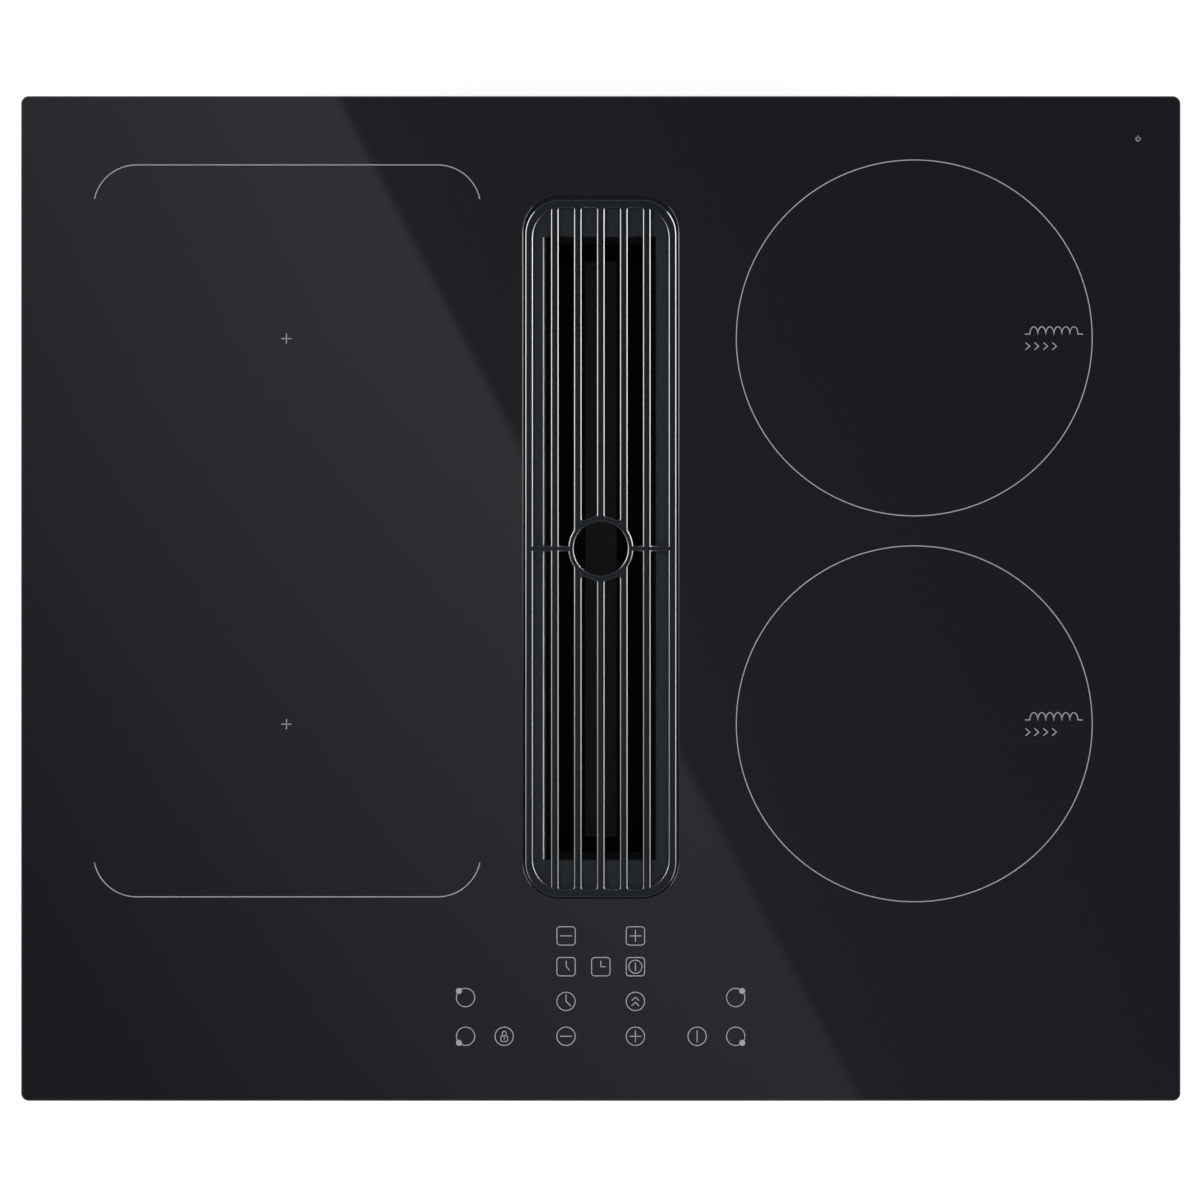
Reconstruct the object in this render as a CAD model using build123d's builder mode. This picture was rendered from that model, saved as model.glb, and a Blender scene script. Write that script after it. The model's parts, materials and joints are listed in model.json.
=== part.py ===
"""Downdraft induction cooktop, 60 cm wide, built into a worktop.

A black glass panel carries a left flex zone and two round right zones. A long slot down its middle
holds a loose cast grille. Below the slot a trough-shaped grease filter hangs in a well, and a
centrifugal blower in the lower housing draws the fumes down and sends them out at the rear.

Frame: millimetres, +Z up, +X to the right, the user stands at -Y. z = 0 is the worktop's upper
face, which the foam seal rests on, and x = y = 0 is the middle of the glass panel.
"""

import os
from math import atan2, cos, degrees, radians, sin

from build123d import *

os.makedirs("parts", exist_ok=True)

# ---------------------------------------------------------------- glass panel and its seal
GLASS_W = 600.0
GLASS_D = 520.0
GLASS_T = 4.0
GLASS_CORNER = 4.0
GLASS_BEVEL = 0.6
GLASS_UNDER_BEVEL = 0.4
SEAL_T = 2.0
SEAL_W = 8.0
SEAL_INSET = 2.5
GLASS_Z = SEAL_T
TOP_Z = GLASS_Z + GLASS_T

# ---------------------------------------------------------------- slot, grille and its feet
SLOT_W = 80.0
SLOT_REAR_MARGIN = 51.4
SLOT_FRONT_MARGIN = 104.9
SLOT_CORNER = 18.9
GRILLE_SIDE_GAP = 1.0
GRILLE_END_GAP = 1.4
GRILLE_SHIFT = 0.9
GRILLE_H = 10.0
GRILLE_BEVEL = 0.45
GRILLE_BEVEL_H = 0.3
RIM_SIDE = 3.8
RIM_END = 4.1
RIM_INNER_CORNER = 15.5
RIM_RIB_GAP = 9.5
RIB_COUNT = 5
RIB_T = 3.8
RIB_H = 8.0
RING_OD = 33.5
RING_ID = 28.2
CROSSBAR_T = 2.8
FOOT_L = 10.0
FOOT_T = 1.0
FOOT_SETBACK = 3.0
FOOT_INSET = 0.5
SLOT_L = GLASS_D - SLOT_REAR_MARGIN - SLOT_FRONT_MARGIN
SLOT_Y = (SLOT_FRONT_MARGIN - SLOT_REAR_MARGIN) / 2
GRILLE_W = SLOT_W - 2 * GRILLE_SIDE_GAP
GRILLE_L = SLOT_L - 2 * GRILLE_END_GAP
GRILLE_Y = SLOT_Y - GRILLE_SHIFT
GRILLE_CORNER = SLOT_CORNER - GRILLE_SIDE_GAP
RIB_PITCH = (GRILLE_W - 2 * (RIM_SIDE + RIM_RIB_GAP) - RIB_T) / (RIB_COUNT - 1)
FOOT_SPACING = GRILLE_W - 2 * GRILLE_CORNER - FOOT_SETBACK

# ---------------------------------------------------------------- moulded trim below the slot
TRIM_T = 2.0
TRIM_GAP = 0.4
TRIM_FLANGE = 8.0
TRIM_FLANGE_T = 1.5
LEDGE_SIDE = 11.25
LEDGE_END = 20.05
THROAT_SHIFT = 0.75
THROAT_CORNER = 1.0
NECK_T = 1.5
NECK_H = 8.0
SEAT_W = 2.0
SEAT_T = 1.5
THROAT_W = SLOT_W - 2 * LEDGE_SIDE
THROAT_L = SLOT_L - 2 * LEDGE_END
THROAT_Y = SLOT_Y - THROAT_SHIFT
LEDGE_Z = TOP_Z - GRILLE_H - FOOT_T
NECK_TOP_Z = LEDGE_Z - TRIM_T
SEAT_Z = NECK_TOP_Z - NECK_H + SEAT_T

# ---------------------------------------------------------------- grease filter cassette
FILTER_GAP = 0.5
FILTER_FLANGE_T = 1.2
FILTER_SHEET = 1.2
FILTER_PASS_GAP = 0.7
FILTER_DEPTH = 46.0
FILTER_SIDE_LEAN = 20.05
FILTER_END_LEAN = 10.8
WINDOW_END = 7.0
WINDOW_POST = 8.0
WINDOW_TOP_BAND = 6.0
WINDOW_BOTTOM_BAND = 9.0
MESH_T = 2.0
MESH_GAP = 0.1
MESH_LAP = 2.0
MESH_END = 4.0
TRAY_H = 4.0
TRAY_T = 0.8
TRAY_GAP = 0.4
FILTER_FLOOR_W = THROAT_W - 2 * FILTER_SIDE_LEAN
FILTER_FLOOR_L = THROAT_L - 2 * FILTER_END_LEAN
WINDOW_L = (FILTER_FLOOR_L - WINDOW_POST) / 2 - WINDOW_END

# ---------------------------------------------------------------- well and steel casing
WELL_GAP = 5.0
WELL_T = 2.0
WELL_CORNER = 4.0
WELL_BELOW_CASING = 10.0
CASE_SIDE_OVERHANG = 24.0
CASE_END_OVERHANG = 19.0
CASE_CORNER = 6.0
CASE_DEPTH = 58.0
SHEET = 1.0
CASE_FLANGE = 8.0
CASE_WELL_GAP = 0.8
WELL_W = THROAT_W + 2 * (NECK_T + WELL_GAP)
WELL_L = THROAT_L + 2 * (NECK_T + WELL_GAP)
CASE_W = GLASS_W - 2 * CASE_SIDE_OVERHANG
CASE_D = GLASS_D - 2 * CASE_END_OVERHANG
CASE_IN_X = CASE_W / 2 - SHEET
CASE_IN_Y = CASE_D / 2 - SHEET
CASE_FLOOR_Z = GLASS_Z - CASE_DEPTH
CASE_INNER_Z = CASE_FLOOR_Z + SHEET

# ---------------------------------------------------------------- touch control behind the front edge
TOUCH_WALL_GAP = 3.5
TOUCH_MARGIN_X = 8.8
TOUCH_MARGIN_Y = 3.8
TOUCH_T = 1.6
TOUCH_WALL = 2.0
TOUCH_GAP = 0.5
TOUCH_DEPTH = 14.0
KEY_R = 3.2
KEY_REACH_Y = 26.0
FAN_ROW_2 = 10.0
REAR_ZONE_ROW = -6.0
HEAT_ROW = -8.0
COLUMN_KEY = 18.0
COLUMN_SIDE = 50.0
COLUMN_ZONE = 70.0
TOUCH_W = 2 * (COLUMN_ZONE + KEY_R + TOUCH_MARGIN_X)
TOUCH_L = 2 * (KEY_REACH_Y + KEY_R + TOUCH_MARGIN_Y)
CARRIER_W = TOUCH_W + 2 * (TOUCH_GAP + TOUCH_WALL)
CARRIER_L = TOUCH_L + 2 * (TOUCH_GAP + TOUCH_WALL)
TOUCH_Y = -CASE_IN_Y + TOUCH_WALL_GAP + CARRIER_L / 2
TOUCH_FLOOR_Z = GLASS_Z - TOUCH_DEPTH
TOUCH_BOARD_Z = TOUCH_FLOOR_Z + TOUCH_WALL
KEYS = [
    (-COLUMN_KEY, KEY_REACH_Y),
    (COLUMN_KEY, KEY_REACH_Y),
    (-COLUMN_KEY, FAN_ROW_2),
    (0, FAN_ROW_2),
    (COLUMN_KEY, FAN_ROW_2),
    (-COLUMN_KEY, HEAT_ROW),
    (COLUMN_KEY, HEAT_ROW),
    (-COLUMN_ZONE, REAR_ZONE_ROW),
    (COLUMN_ZONE, REAR_ZONE_ROW),
    (-COLUMN_ZONE, -KEY_REACH_Y),
    (-COLUMN_SIDE, -KEY_REACH_Y),
    (-COLUMN_KEY, -KEY_REACH_Y),
    (COLUMN_KEY, -KEY_REACH_Y),
    (COLUMN_SIDE, -KEY_REACH_Y),
    (COLUMN_ZONE, -KEY_REACH_Y),
]

# ---------------------------------------------------------------- induction coils on their two plates
PLATE_T = 2.0
PLATE_WELL_GAP = 19.95
PLATE_WALL_GAP = 7.8
PLATE_FRONT_GAP = 7.5
PLATE_REAR_GAP = 8.0
PLATE_CORNER = 6.0
PILLAR_R = 4.0
PILLAR_INSET = 6.0
FORMER_END_GAP = 5.0
FORMER_T = 3.0
ZONE_GAP = 20.0
ZONE_SHIFT = 1.8
MICA_T = 1.0
MICA_INSET = 1.0
COIL_WIRE_H = 4.0
COIL_WIRE_W = 2.6
COIL_PITCH = 3.5
COIL_INNER_R = 26.0
COIL_EDGE = 4.0
SENSOR_R = 5.0
SENSOR_GAP = 0.2
FERRITE_COUNT = 8
FERRITE_END_GAP = 5.0
FERRITE_EDGE = 9.0
FERRITE_W = 12.0
FERRITE_T = 5.0
PLATE_INNER_X = WELL_W / 2 + WELL_T + PLATE_WELL_GAP
PLATE_OUTER_X = CASE_IN_X - PLATE_WALL_GAP
PLATE_FRONT_Y = TOUCH_Y + CARRIER_L / 2 + PLATE_FRONT_GAP
PLATE_REAR_Y = CASE_IN_Y - PLATE_REAR_GAP
PLATE_W = PLATE_OUTER_X - PLATE_INNER_X
PLATE_L = PLATE_REAR_Y - PLATE_FRONT_Y
PLATE_X = (PLATE_OUTER_X + PLATE_INNER_X) / 2
PLATE_Y = (PLATE_REAR_Y + PLATE_FRONT_Y) / 2
FORMER_R = (PLATE_L - ZONE_GAP - 2 * FORMER_END_GAP) / 4
ZONE_PITCH = 2 * FORMER_R + ZONE_GAP
ZONE_Y = PLATE_Y - ZONE_SHIFT
COIL_TURNS = int((FORMER_R - COIL_EDGE - COIL_INNER_R) / COIL_PITCH)
FERRITE_L = FORMER_R - FERRITE_EDGE - COIL_INNER_R - FERRITE_END_GAP
FERRITE_MID_R = COIL_INNER_R + FERRITE_END_GAP + FERRITE_L / 2
MICA_Z = GLASS_Z - MICA_T
WINDING_Z = MICA_Z - COIL_WIRE_H
FORMER_Z = WINDING_Z - FORMER_T
FERRITE_Z = FORMER_Z - FERRITE_T
PLATE_Z = FERRITE_Z - PLATE_T
ZONES = {
    "rear_left": (-PLATE_X, ZONE_Y + ZONE_PITCH / 2),
    "front_left": (-PLATE_X, ZONE_Y - ZONE_PITCH / 2),
    "rear_right": (PLATE_X, ZONE_Y + ZONE_PITCH / 2),
    "front_right": (PLATE_X, ZONE_Y - ZONE_PITCH / 2),
}
SIDES = {"left": -1, "right": 1}

# ---------------------------------------------------------------- cooling fans and power boards
RUNNING_GAP = 0.05
SHAFT_END_GAP = 0.3
FAN_SHIFT = 27.8
FAN_WALL_GAP = 8.0
FAN_SIZE = 92.0
FAN_RIM = 2.5
FAN_CORNER = 5.0
FAN_H = 25.0
FAN_HUB_R = 18.0
FAN_SPIDER_T = 2.0
FAN_SPOKE_W = 4.0
FAN_TIP_GAP = 1.5
FAN_BLADES = 7
FAN_BLADE_T = 1.5
FAN_BLADE_W = 17.0
FAN_BLADE_TILT = 38.0
FAN_BLADE_ROOT = 1.0
FAN_ROTOR_GAP = 1.5
FAN_ROTOR_H = 20.0
FAN_SHAFT_R = 2.0
INLET_SLOTS = 16
INLET_SLOT_L = 22.0
INLET_SLOT_W = 4.0
INLET_SLOT_GAP = 4.5
BOARD_FAN_GAP = 35.0
BOARD_REAR_GAP = 55.0
BOARD_INSET = 10.0
BOARD_T = 1.6
BOARD_STANDOFF = 5.0
STANDOFF_R = 3.5
STANDOFF_INSET = 8.0
SINK_EDGE = 25.0
SINK_END = 55.0
SINK_BASE = 4.0
SINK_H = 26.0
SINK_FINS = 9
SINK_FIN_T = 2.0
CAPACITOR_R = 9.0
CAPACITOR_H = 28.0
CAPACITOR_GAP = 6.0
CAPACITOR_EDGE = 14.0
CHOKE_R = 17.0
CHOKE_BORE_R = 7.0
CHOKE_H = 13.0
CHOKE_GAP = 8.0
CHOKE_EDGE_X = 22.0
CHOKE_EDGE_Y = 38.0
CHOKE_SINK_GAP = 7.0
SIDE_SLOT_W = 3.0
SIDE_SLOT_L = 22.0
SIDE_SLOT_PITCH = 9.0
SIDE_SLOT_COUNT = 14
SIDE_SLOT_SHIFT = 20.0
REAR_SLOT_COUNT = 12
FAN_X = PLATE_X + FAN_SHIFT
FAN_Y = -CASE_IN_Y + FAN_WALL_GAP + FAN_SIZE / 2
FAN_BORE_R = FAN_SIZE / 2 - FAN_RIM
INLET_SLOT_R = FAN_BORE_R - INLET_SLOT_GAP - INLET_SLOT_L / 2
BOARD_FRONT_Y = FAN_Y + FAN_SIZE / 2 + BOARD_FAN_GAP
BOARD_REAR_Y = CASE_IN_Y - BOARD_REAR_GAP
BOARD_W = PLATE_W - 2 * BOARD_INSET
BOARD_L = BOARD_REAR_Y - BOARD_FRONT_Y
BOARD_Y = (BOARD_REAR_Y + BOARD_FRONT_Y) / 2
BOARD_Z = CASE_INNER_Z + BOARD_STANDOFF
BOARD_TOP_Z = BOARD_Z + BOARD_T
CHOKES_W = 4 * CHOKE_R + CHOKE_GAP
SINK_W = BOARD_W - SINK_EDGE - CHOKE_EDGE_X - CHOKES_W - CHOKE_SINK_GAP
SINK_X = PLATE_X + BOARD_W / 2 - SINK_EDGE - SINK_W / 2
SINK_L = BOARD_L - 2 * SINK_END
CAPACITOR_PITCH = 2 * CAPACITOR_R + CAPACITOR_GAP
CAPACITOR_X = PLATE_X - BOARD_W / 2 + CAPACITOR_EDGE + CAPACITOR_R + CAPACITOR_PITCH / 2
CHOKE_PITCH = 2 * CHOKE_R + CHOKE_GAP
CHOKE_X = PLATE_X - BOARD_W / 2 + CHOKE_EDGE_X + CHOKE_R + CHOKE_PITCH / 2
CHOKE_Y = BOARD_FRONT_Y + CHOKE_EDGE_Y + CHOKE_R
SIDE_SLOT_Y = BOARD_Y + SIDE_SLOT_SHIFT

# ---------------------------------------------------------------- blower: impeller, motor and scroll
BLOWER_X = -20.0
BLOWER_REAR_GAP = 160.0
IMPELLER_R = 80.0
IMPELLER_BAND = 14.0
IMPELLER_FLOOR_GAP = 8.0
IMPELLER_TOP_GAP = 3.0
IMPELLER_PLATE_T = 2.0
IMPELLER_RING_W = 5.0
IMPELLER_RING_T = 3.0
IMPELLER_BLADES = 36
IMPELLER_BLADE_T = 1.3
IMPELLER_BLADE_ANGLE = 35.0
BLOWER_Y = CASE_IN_Y - BLOWER_REAR_GAP
IMPELLER_INNER_R = IMPELLER_R - IMPELLER_BAND
DUCT_W = 150.0
DUCT_H = 70.0
DUCT_T = 2.0
SCROLL_TIP_GAP = 10.0
SCROLL_STEP = 11.0
SCROLL_TONGUE = 60.0
SCROLL_STRAIGHT = 10.0
SCROLL_T = 2.0
SCROLL_LIP = 4.0
SCROLL_LOWER_H = 35.0
SCROLL_OVERRUN = 3.0
INLET_INSET = 4.0
INLET_LIP_H = 6.0
SCROLL_R = IMPELLER_R + SCROLL_TIP_GAP
SCROLL_RIGHT_X = BLOWER_X + SCROLL_R + 4 * SCROLL_STEP
TONGUE_X = BLOWER_X + SCROLL_R * cos(radians(SCROLL_TONGUE))
TONGUE_Y = BLOWER_Y + SCROLL_R * sin(radians(SCROLL_TONGUE))
SCROLL_FRONT_Y = BLOWER_Y - SCROLL_R - 3 * SCROLL_STEP - SCROLL_T - SCROLL_LIP
SCROLL_STRAIGHT_Y = TONGUE_Y + SCROLL_STRAIGHT
DUCT_X = (SCROLL_RIGHT_X + TONGUE_X) / 2
INLET_R = IMPELLER_INNER_R - INLET_INSET
GROMMET_H = 5.0
GROMMET_R = 7.0
GROMMET_BORE_R = 2.5
POST_H = 2.5
POST_INSET = 12.0
POST_COUNT = 3
POST_CIRCLE_R = SCROLL_R - POST_INSET
MOTOR_HEADROOM = 24.0
MOTOR_R = 40.0
MOTOR_T = 2.0
BEARING_R = 11.0
BEARING_H = 7.0
SHAFT_R = 4.0
STATOR_BORE_R = 20.0
STATOR_GAP = 0.2
ROTOR_GAP = 0.6
DOME_GAP = 3.5
DOME_T = 2.5
DOME_TOP_GAP = 4.0
HUB_R = 9.0
HUB_H = 10.0
MOTOR_H = DUCT_H - MOTOR_HEADROOM
STATOR_H = MOTOR_H - 2 * (MOTOR_T + BEARING_H) - 2 * ROTOR_GAP

# ---------------------------------------------------------------- lower housing
PLENUM_SEAL_T = 2.0
HOUSING_H = 142.0
HOUSING_T = 2.5
HOUSING_FLANGE = 8.0
HOUSING_CORNER = 5.0
HOUSING_EDGE = 1.2
POCKET_DEPTH = 1.0
POCKET_CORNER = 4.0
POCKET_EDGE = 12.0
POCKET_GAP = 5.0
POCKET_COLUMNS = 3
POCKET_ROWS = 4
HOUSING_FRONT_INSET = 80.0
HOUSING_REAR_INSET = 25.0
DUCT_SIDE_GAP = 3.0
HOUSING_W = 2 * (DUCT_X + DUCT_W / 2 + DUCT_SIDE_GAP + HOUSING_T)
HOUSING_FRONT_Y = -CASE_IN_Y + HOUSING_FRONT_INSET
HOUSING_REAR_Y = CASE_IN_Y - HOUSING_REAR_INSET
HOUSING_L = HOUSING_REAR_Y - HOUSING_FRONT_Y
HOUSING_Y = (HOUSING_REAR_Y + HOUSING_FRONT_Y) / 2
POCKET_PITCH_X = (HOUSING_W - 2 * POCKET_EDGE + POCKET_GAP) / POCKET_COLUMNS
POCKET_PITCH_Y = (HOUSING_L - 2 * POCKET_EDGE + POCKET_GAP) / POCKET_ROWS
HOUSING_TOP_Z = CASE_FLOOR_Z - PLENUM_SEAL_T
HOUSING_Z = HOUSING_TOP_Z - HOUSING_H
HOUSING_INNER_Z = HOUSING_Z + HOUSING_T
SCROLL_Z = HOUSING_INNER_Z + POST_H + GROMMET_H
SCROLL_FLOOR_Z = SCROLL_Z + SCROLL_T
SCROLL_TOP_Z = SCROLL_Z + DUCT_H
SPLIT_Z = SCROLL_Z + SCROLL_LOWER_H
MOTOR_TOP_Z = SCROLL_FLOOR_Z + MOTOR_H

# ---------------------------------------------------------------- overflow tank, a drawer at the front
TANK_W = 110.0
TANK_H = 44.0
TANK_T = 2.0
TANK_CORNER = 6.0
TANK_SCROLL_GAP = 6.0
TANK_FRONT_T = 2.7
TANK_FRONT_MARGIN = 5.0
TANK_FRONT_GAP = 0.3
TANK_RUNNER_H = 1.7
TANK_RUNNER_W = 6.0
TANK_RUNNER_INSET = 17.0
TANK_RUN_GAP = 0.3
TANK_SIDE_GAP = 1.5
TANK_PULL_W = 50.0
TANK_PULL_H = 6.0
TANK_PULL_D = 9.0
TANK_PULL_DROP = 13.0
TANK_REAR_Y = SCROLL_FRONT_Y - TANK_SCROLL_GAP
TANK_FRONT_Y = HOUSING_FRONT_Y - TANK_FRONT_GAP
TANK_Z = HOUSING_INNER_Z + TANK_RUNNER_H + TANK_RUN_GAP

# ---------------------------------------------------------------- outlet collar and non-return flap
DUCT_REACH = 42.0
DUCT_FLANGE = 7.0
DUCT_FLANGE_T = 2.0
DUCT_CORNER = 3.0
DUCT_GAP = 0.3
FLAP_T = 1.2
FLAP_GAP = 0.6
FLAP_KNUCKLE_R = 2.5
FLAP_PIN_R = 1.5
FLAP_PIN_BITE = 1.6
FLAP_BACK = 8.0
DUCT_Z = SCROLL_Z + DUCT_H / 2
COLLAR_START_Y = HOUSING_REAR_Y - HOUSING_T - DUCT_T

# ---------------------------------------------------------------- mains terminal box
TERMINAL_L = 50.0
TERMINAL_H = 32.0
TERMINAL_T = 2.0
TERMINAL_WALL_GAP = 25.0
TERMINAL_SIDE_GAP = 12.0
TERMINAL_REAR_INSET = 2.0
CABLE_R = 5.5
CABLE_BOSS_R = 9.0
CABLE_BOSS_L = 8.0
CABLE_Z_DROP = 15.0
BLOCK_SIDE_GAP = 8.0
BLOCK_L = 18.0
BLOCK_H = 16.0
BLOCK_WAYS = 5
BLOCK_REAR_GAP = 14.0
BLOCK_RIB = 2.4
BLOCK_POCKET = 5.5
COVER_T = 2.0
COVER_GAP = 0.4
COVER_KNUCKLE_R = 2.2
COVER_PIN_R = 1.5
COVER_PIN_BITE = 1.6
COVER_AXIS_DROP = 3.2
TERMINAL_OUTER_X = CASE_IN_X - TERMINAL_WALL_GAP
TERMINAL_INNER_X = HOUSING_W / 2 + HOUSING_FLANGE + TERMINAL_SIDE_GAP
TERMINAL_W = TERMINAL_OUTER_X - TERMINAL_INNER_X
TERMINAL_X = -(TERMINAL_OUTER_X + TERMINAL_INNER_X) / 2
TERMINAL_REAR_Y = CASE_IN_Y - TERMINAL_REAR_INSET
BLOCK_W = TERMINAL_W - 2 * (TERMINAL_T + BLOCK_SIDE_GAP)

# ---------------------------------------------------------------- worktop clamps
CLAMP_EDGE = 13.0
CLAMP_PILLAR_GAP = 22.0
CLAMP_W = 14.0
CLAMP_T = 2.5
CLAMP_REACH = 36.0
CLAMP_PIVOT_R = 3.0
CLAMP_PIVOT_HEAD_R = 5.5
CLAMP_PIVOT_HEAD_H = 3.0
CLAMP_DROP = 0.3
JACK_R = 2.5
JACK_L = 34.0
JACK_TIP = 1.2
JACK_KNOB_R = 5.0
JACK_KNOB_H = 3.0
CLAMP_X = CASE_IN_X - CLAMP_EDGE
CLAMP_Y = -PLATE_FRONT_Y - PILLAR_INSET - CLAMP_PILLAR_GAP
CLAMP_TOP_Z = CASE_FLOOR_Z - CLAMP_DROP - JACK_TIP
CLAMP_Z = CLAMP_TOP_Z - CLAMP_T
CLAMPS = {
    "front_left": (-CLAMP_X, -CLAMP_Y),
    "rear_left": (-CLAMP_X, CLAMP_Y),
    "front_right": (CLAMP_X, -CLAMP_Y),
    "rear_right": (CLAMP_X, CLAMP_Y),
}


def write(piece, label):
    """Names a finished piece and writes it as one STEP file."""
    piece.part.label = label
    export_step(piece.part, f"parts/{label}.step")


def at_height(sketch, z):
    """The sketch's faces lifted to height z."""
    return [face.moved(Location((0, 0, z))) for face in sketch.sketch.faces()]


# ================================================================ top: glass, seal, trim and grille
with BuildPart() as glass_top:
    with BuildSketch(Plane.XY.offset(GLASS_Z)):
        RectangleRounded(GLASS_W, GLASS_D, GLASS_CORNER)
        with Locations((0, SLOT_Y)):
            RectangleRounded(SLOT_W, SLOT_L, SLOT_CORNER, mode=Mode.SUBTRACT)
    extrude(amount=GLASS_T)
    chamfer(glass_top.faces().sort_by(Axis.Z)[-1].edges(), GLASS_BEVEL)
    chamfer(glass_top.faces().sort_by(Axis.Z)[0].outer_wire().edges(), GLASS_UNDER_BEVEL)
write(glass_top, "glass_top")

with BuildPart() as perimeter_seal:
    with BuildSketch():
        Rectangle(GLASS_W - 2 * SEAL_INSET, GLASS_D - 2 * SEAL_INSET)
        Rectangle(
            GLASS_W - 2 * (SEAL_INSET + SEAL_W),
            GLASS_D - 2 * (SEAL_INSET + SEAL_W),
            mode=Mode.SUBTRACT,
        )
    extrude(amount=SEAL_T)
write(perimeter_seal, "perimeter_seal")

# The trim hangs from the glass by its flange. Its wall drops to a ledge for the grille, and a neck
# round the throat ends in an inward seat for the filter.
trim_in_w = SLOT_W + 2 * TRIM_GAP
trim_in_l = SLOT_L + 2 * TRIM_GAP
trim_in_corner = SLOT_CORNER + TRIM_GAP
with BuildPart() as recess_trim:
    with BuildSketch(Plane.XY.offset(NECK_TOP_Z)):
        with Locations((0, SLOT_Y)):
            RectangleRounded(trim_in_w + 2 * TRIM_T, trim_in_l + 2 * TRIM_T, trim_in_corner + TRIM_T)
    extrude(amount=GLASS_Z - NECK_TOP_Z)
    with BuildSketch(Plane.XY.offset(GLASS_Z - TRIM_FLANGE_T)):
        with Locations((0, SLOT_Y)):
            RectangleRounded(
                trim_in_w + 2 * TRIM_FLANGE,
                trim_in_l + 2 * TRIM_FLANGE,
                trim_in_corner + TRIM_FLANGE,
            )
    extrude(amount=TRIM_FLANGE_T)
    with BuildSketch(Plane.XY.offset(LEDGE_Z)):
        with Locations((0, SLOT_Y)):
            RectangleRounded(trim_in_w, trim_in_l, trim_in_corner)
    extrude(amount=GLASS_Z - LEDGE_Z, mode=Mode.SUBTRACT)
    with BuildSketch(Plane.XY.offset(NECK_TOP_Z)):
        with Locations((0, THROAT_Y)):
            RectangleRounded(
                THROAT_W + 2 * NECK_T, THROAT_L + 2 * NECK_T, THROAT_CORNER + NECK_T
            )
    extrude(amount=-NECK_H)
    with BuildSketch(Plane.XY.offset(LEDGE_Z)):
        with Locations((0, THROAT_Y)):
            RectangleRounded(THROAT_W, THROAT_L, THROAT_CORNER)
    extrude(amount=SEAT_Z - LEDGE_Z, mode=Mode.SUBTRACT)
    with BuildSketch(Plane.XY.offset(SEAT_Z)):
        with Locations((0, THROAT_Y)):
            Rectangle(THROAT_W - 2 * SEAT_W, THROAT_L - 2 * SEAT_W)
    extrude(amount=-SEAT_T, mode=Mode.SUBTRACT)
write(recess_trim, "recess_trim")

# Grille: one casting. The rim is deep, the ribs, crossbar and finger ring are shallower. Every bar
# narrows over its topmost part, so its long edges are bevelled and the bevels meet at the joints.
with BuildSketch() as rim_outline:
    with Locations((0, GRILLE_Y)):
        RectangleRounded(GRILLE_W, GRILLE_L, GRILLE_CORNER)
        RectangleRounded(
            GRILLE_W - 2 * RIM_SIDE, GRILLE_L - 2 * RIM_END, RIM_INNER_CORNER, mode=Mode.SUBTRACT
        )
with BuildSketch() as rib_outline:
    with Locations((0, GRILLE_Y)):
        with GridLocations(RIB_PITCH, 0, RIB_COUNT, 1):
            Rectangle(RIB_T, GRILLE_L - RIM_END)
with BuildSketch() as crossbar_outline:
    with Locations((0, GRILLE_Y)):
        Rectangle(GRILLE_W - RIM_SIDE, CROSSBAR_T)
with BuildSketch() as ring_outline:
    with Locations((0, GRILLE_Y)):
        Circle(RING_OD / 2)

bevel_lean = degrees(atan2(GRILLE_BEVEL, GRILLE_BEVEL_H))
with BuildPart() as grille:
    for outline, height in (
        (rim_outline, GRILLE_H),
        (rib_outline, RIB_H),
        (crossbar_outline, RIB_H),
        (ring_outline, RIB_H),
    ):
        straight = height - GRILLE_BEVEL_H
        extrude(at_height(outline, TOP_Z - height), amount=straight, dir=(0, 0, 1))
        extrude(at_height(outline, TOP_Z - GRILLE_BEVEL_H), amount=GRILLE_BEVEL_H, taper=bevel_lean)
    with BuildSketch(Plane.XY.offset(TOP_Z - RIB_H)):
        with Locations((0, GRILLE_Y)):
            Circle(RING_ID / 2)
    extrude(amount=RIB_H, mode=Mode.SUBTRACT)
    ring_edges = grille.edges().filter_by(GeomType.CIRCLE).filter_by(
        lambda edge: abs(edge.radius - RING_ID / 2) < GRILLE_BEVEL / 2
    )
    top_face = grille.faces().sort_by(Axis.Z)[-1]
    chamfer(
        ring_edges.group_by(Axis.Z)[-1], GRILLE_BEVEL, length2=GRILLE_BEVEL_H, reference=top_face
    )
write(grille, "grille")

with BuildPart() as grille_feet:
    with BuildSketch(Plane.XY.offset(LEDGE_Z)):
        with Locations((0, GRILLE_Y)):
            with GridLocations(FOOT_SPACING, GRILLE_L - RIM_END, 2, 2):
                Rectangle(FOOT_L, RIM_END - 2 * FOOT_INSET)
    extrude(amount=FOOT_T)
write(grille_feet, "grille_feet")

# ================================================================ grease filter cassette
trough_top_z = SEAT_Z
trough_floor_z = SEAT_Z - FILTER_DEPTH
trough_w = THROAT_W - 2 * SEAT_W - 2 * FILTER_PASS_GAP
trough_l = THROAT_L - 2 * SEAT_W - 2 * FILTER_PASS_GAP
floor_w = FILTER_FLOOR_W + 2 * FILTER_SHEET
floor_l = FILTER_FLOOR_L + 2 * FILTER_SHEET
window_low_z = trough_floor_z + WINDOW_BOTTOM_BAND
window_high_z = trough_top_z - WINDOW_TOP_BAND

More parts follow.
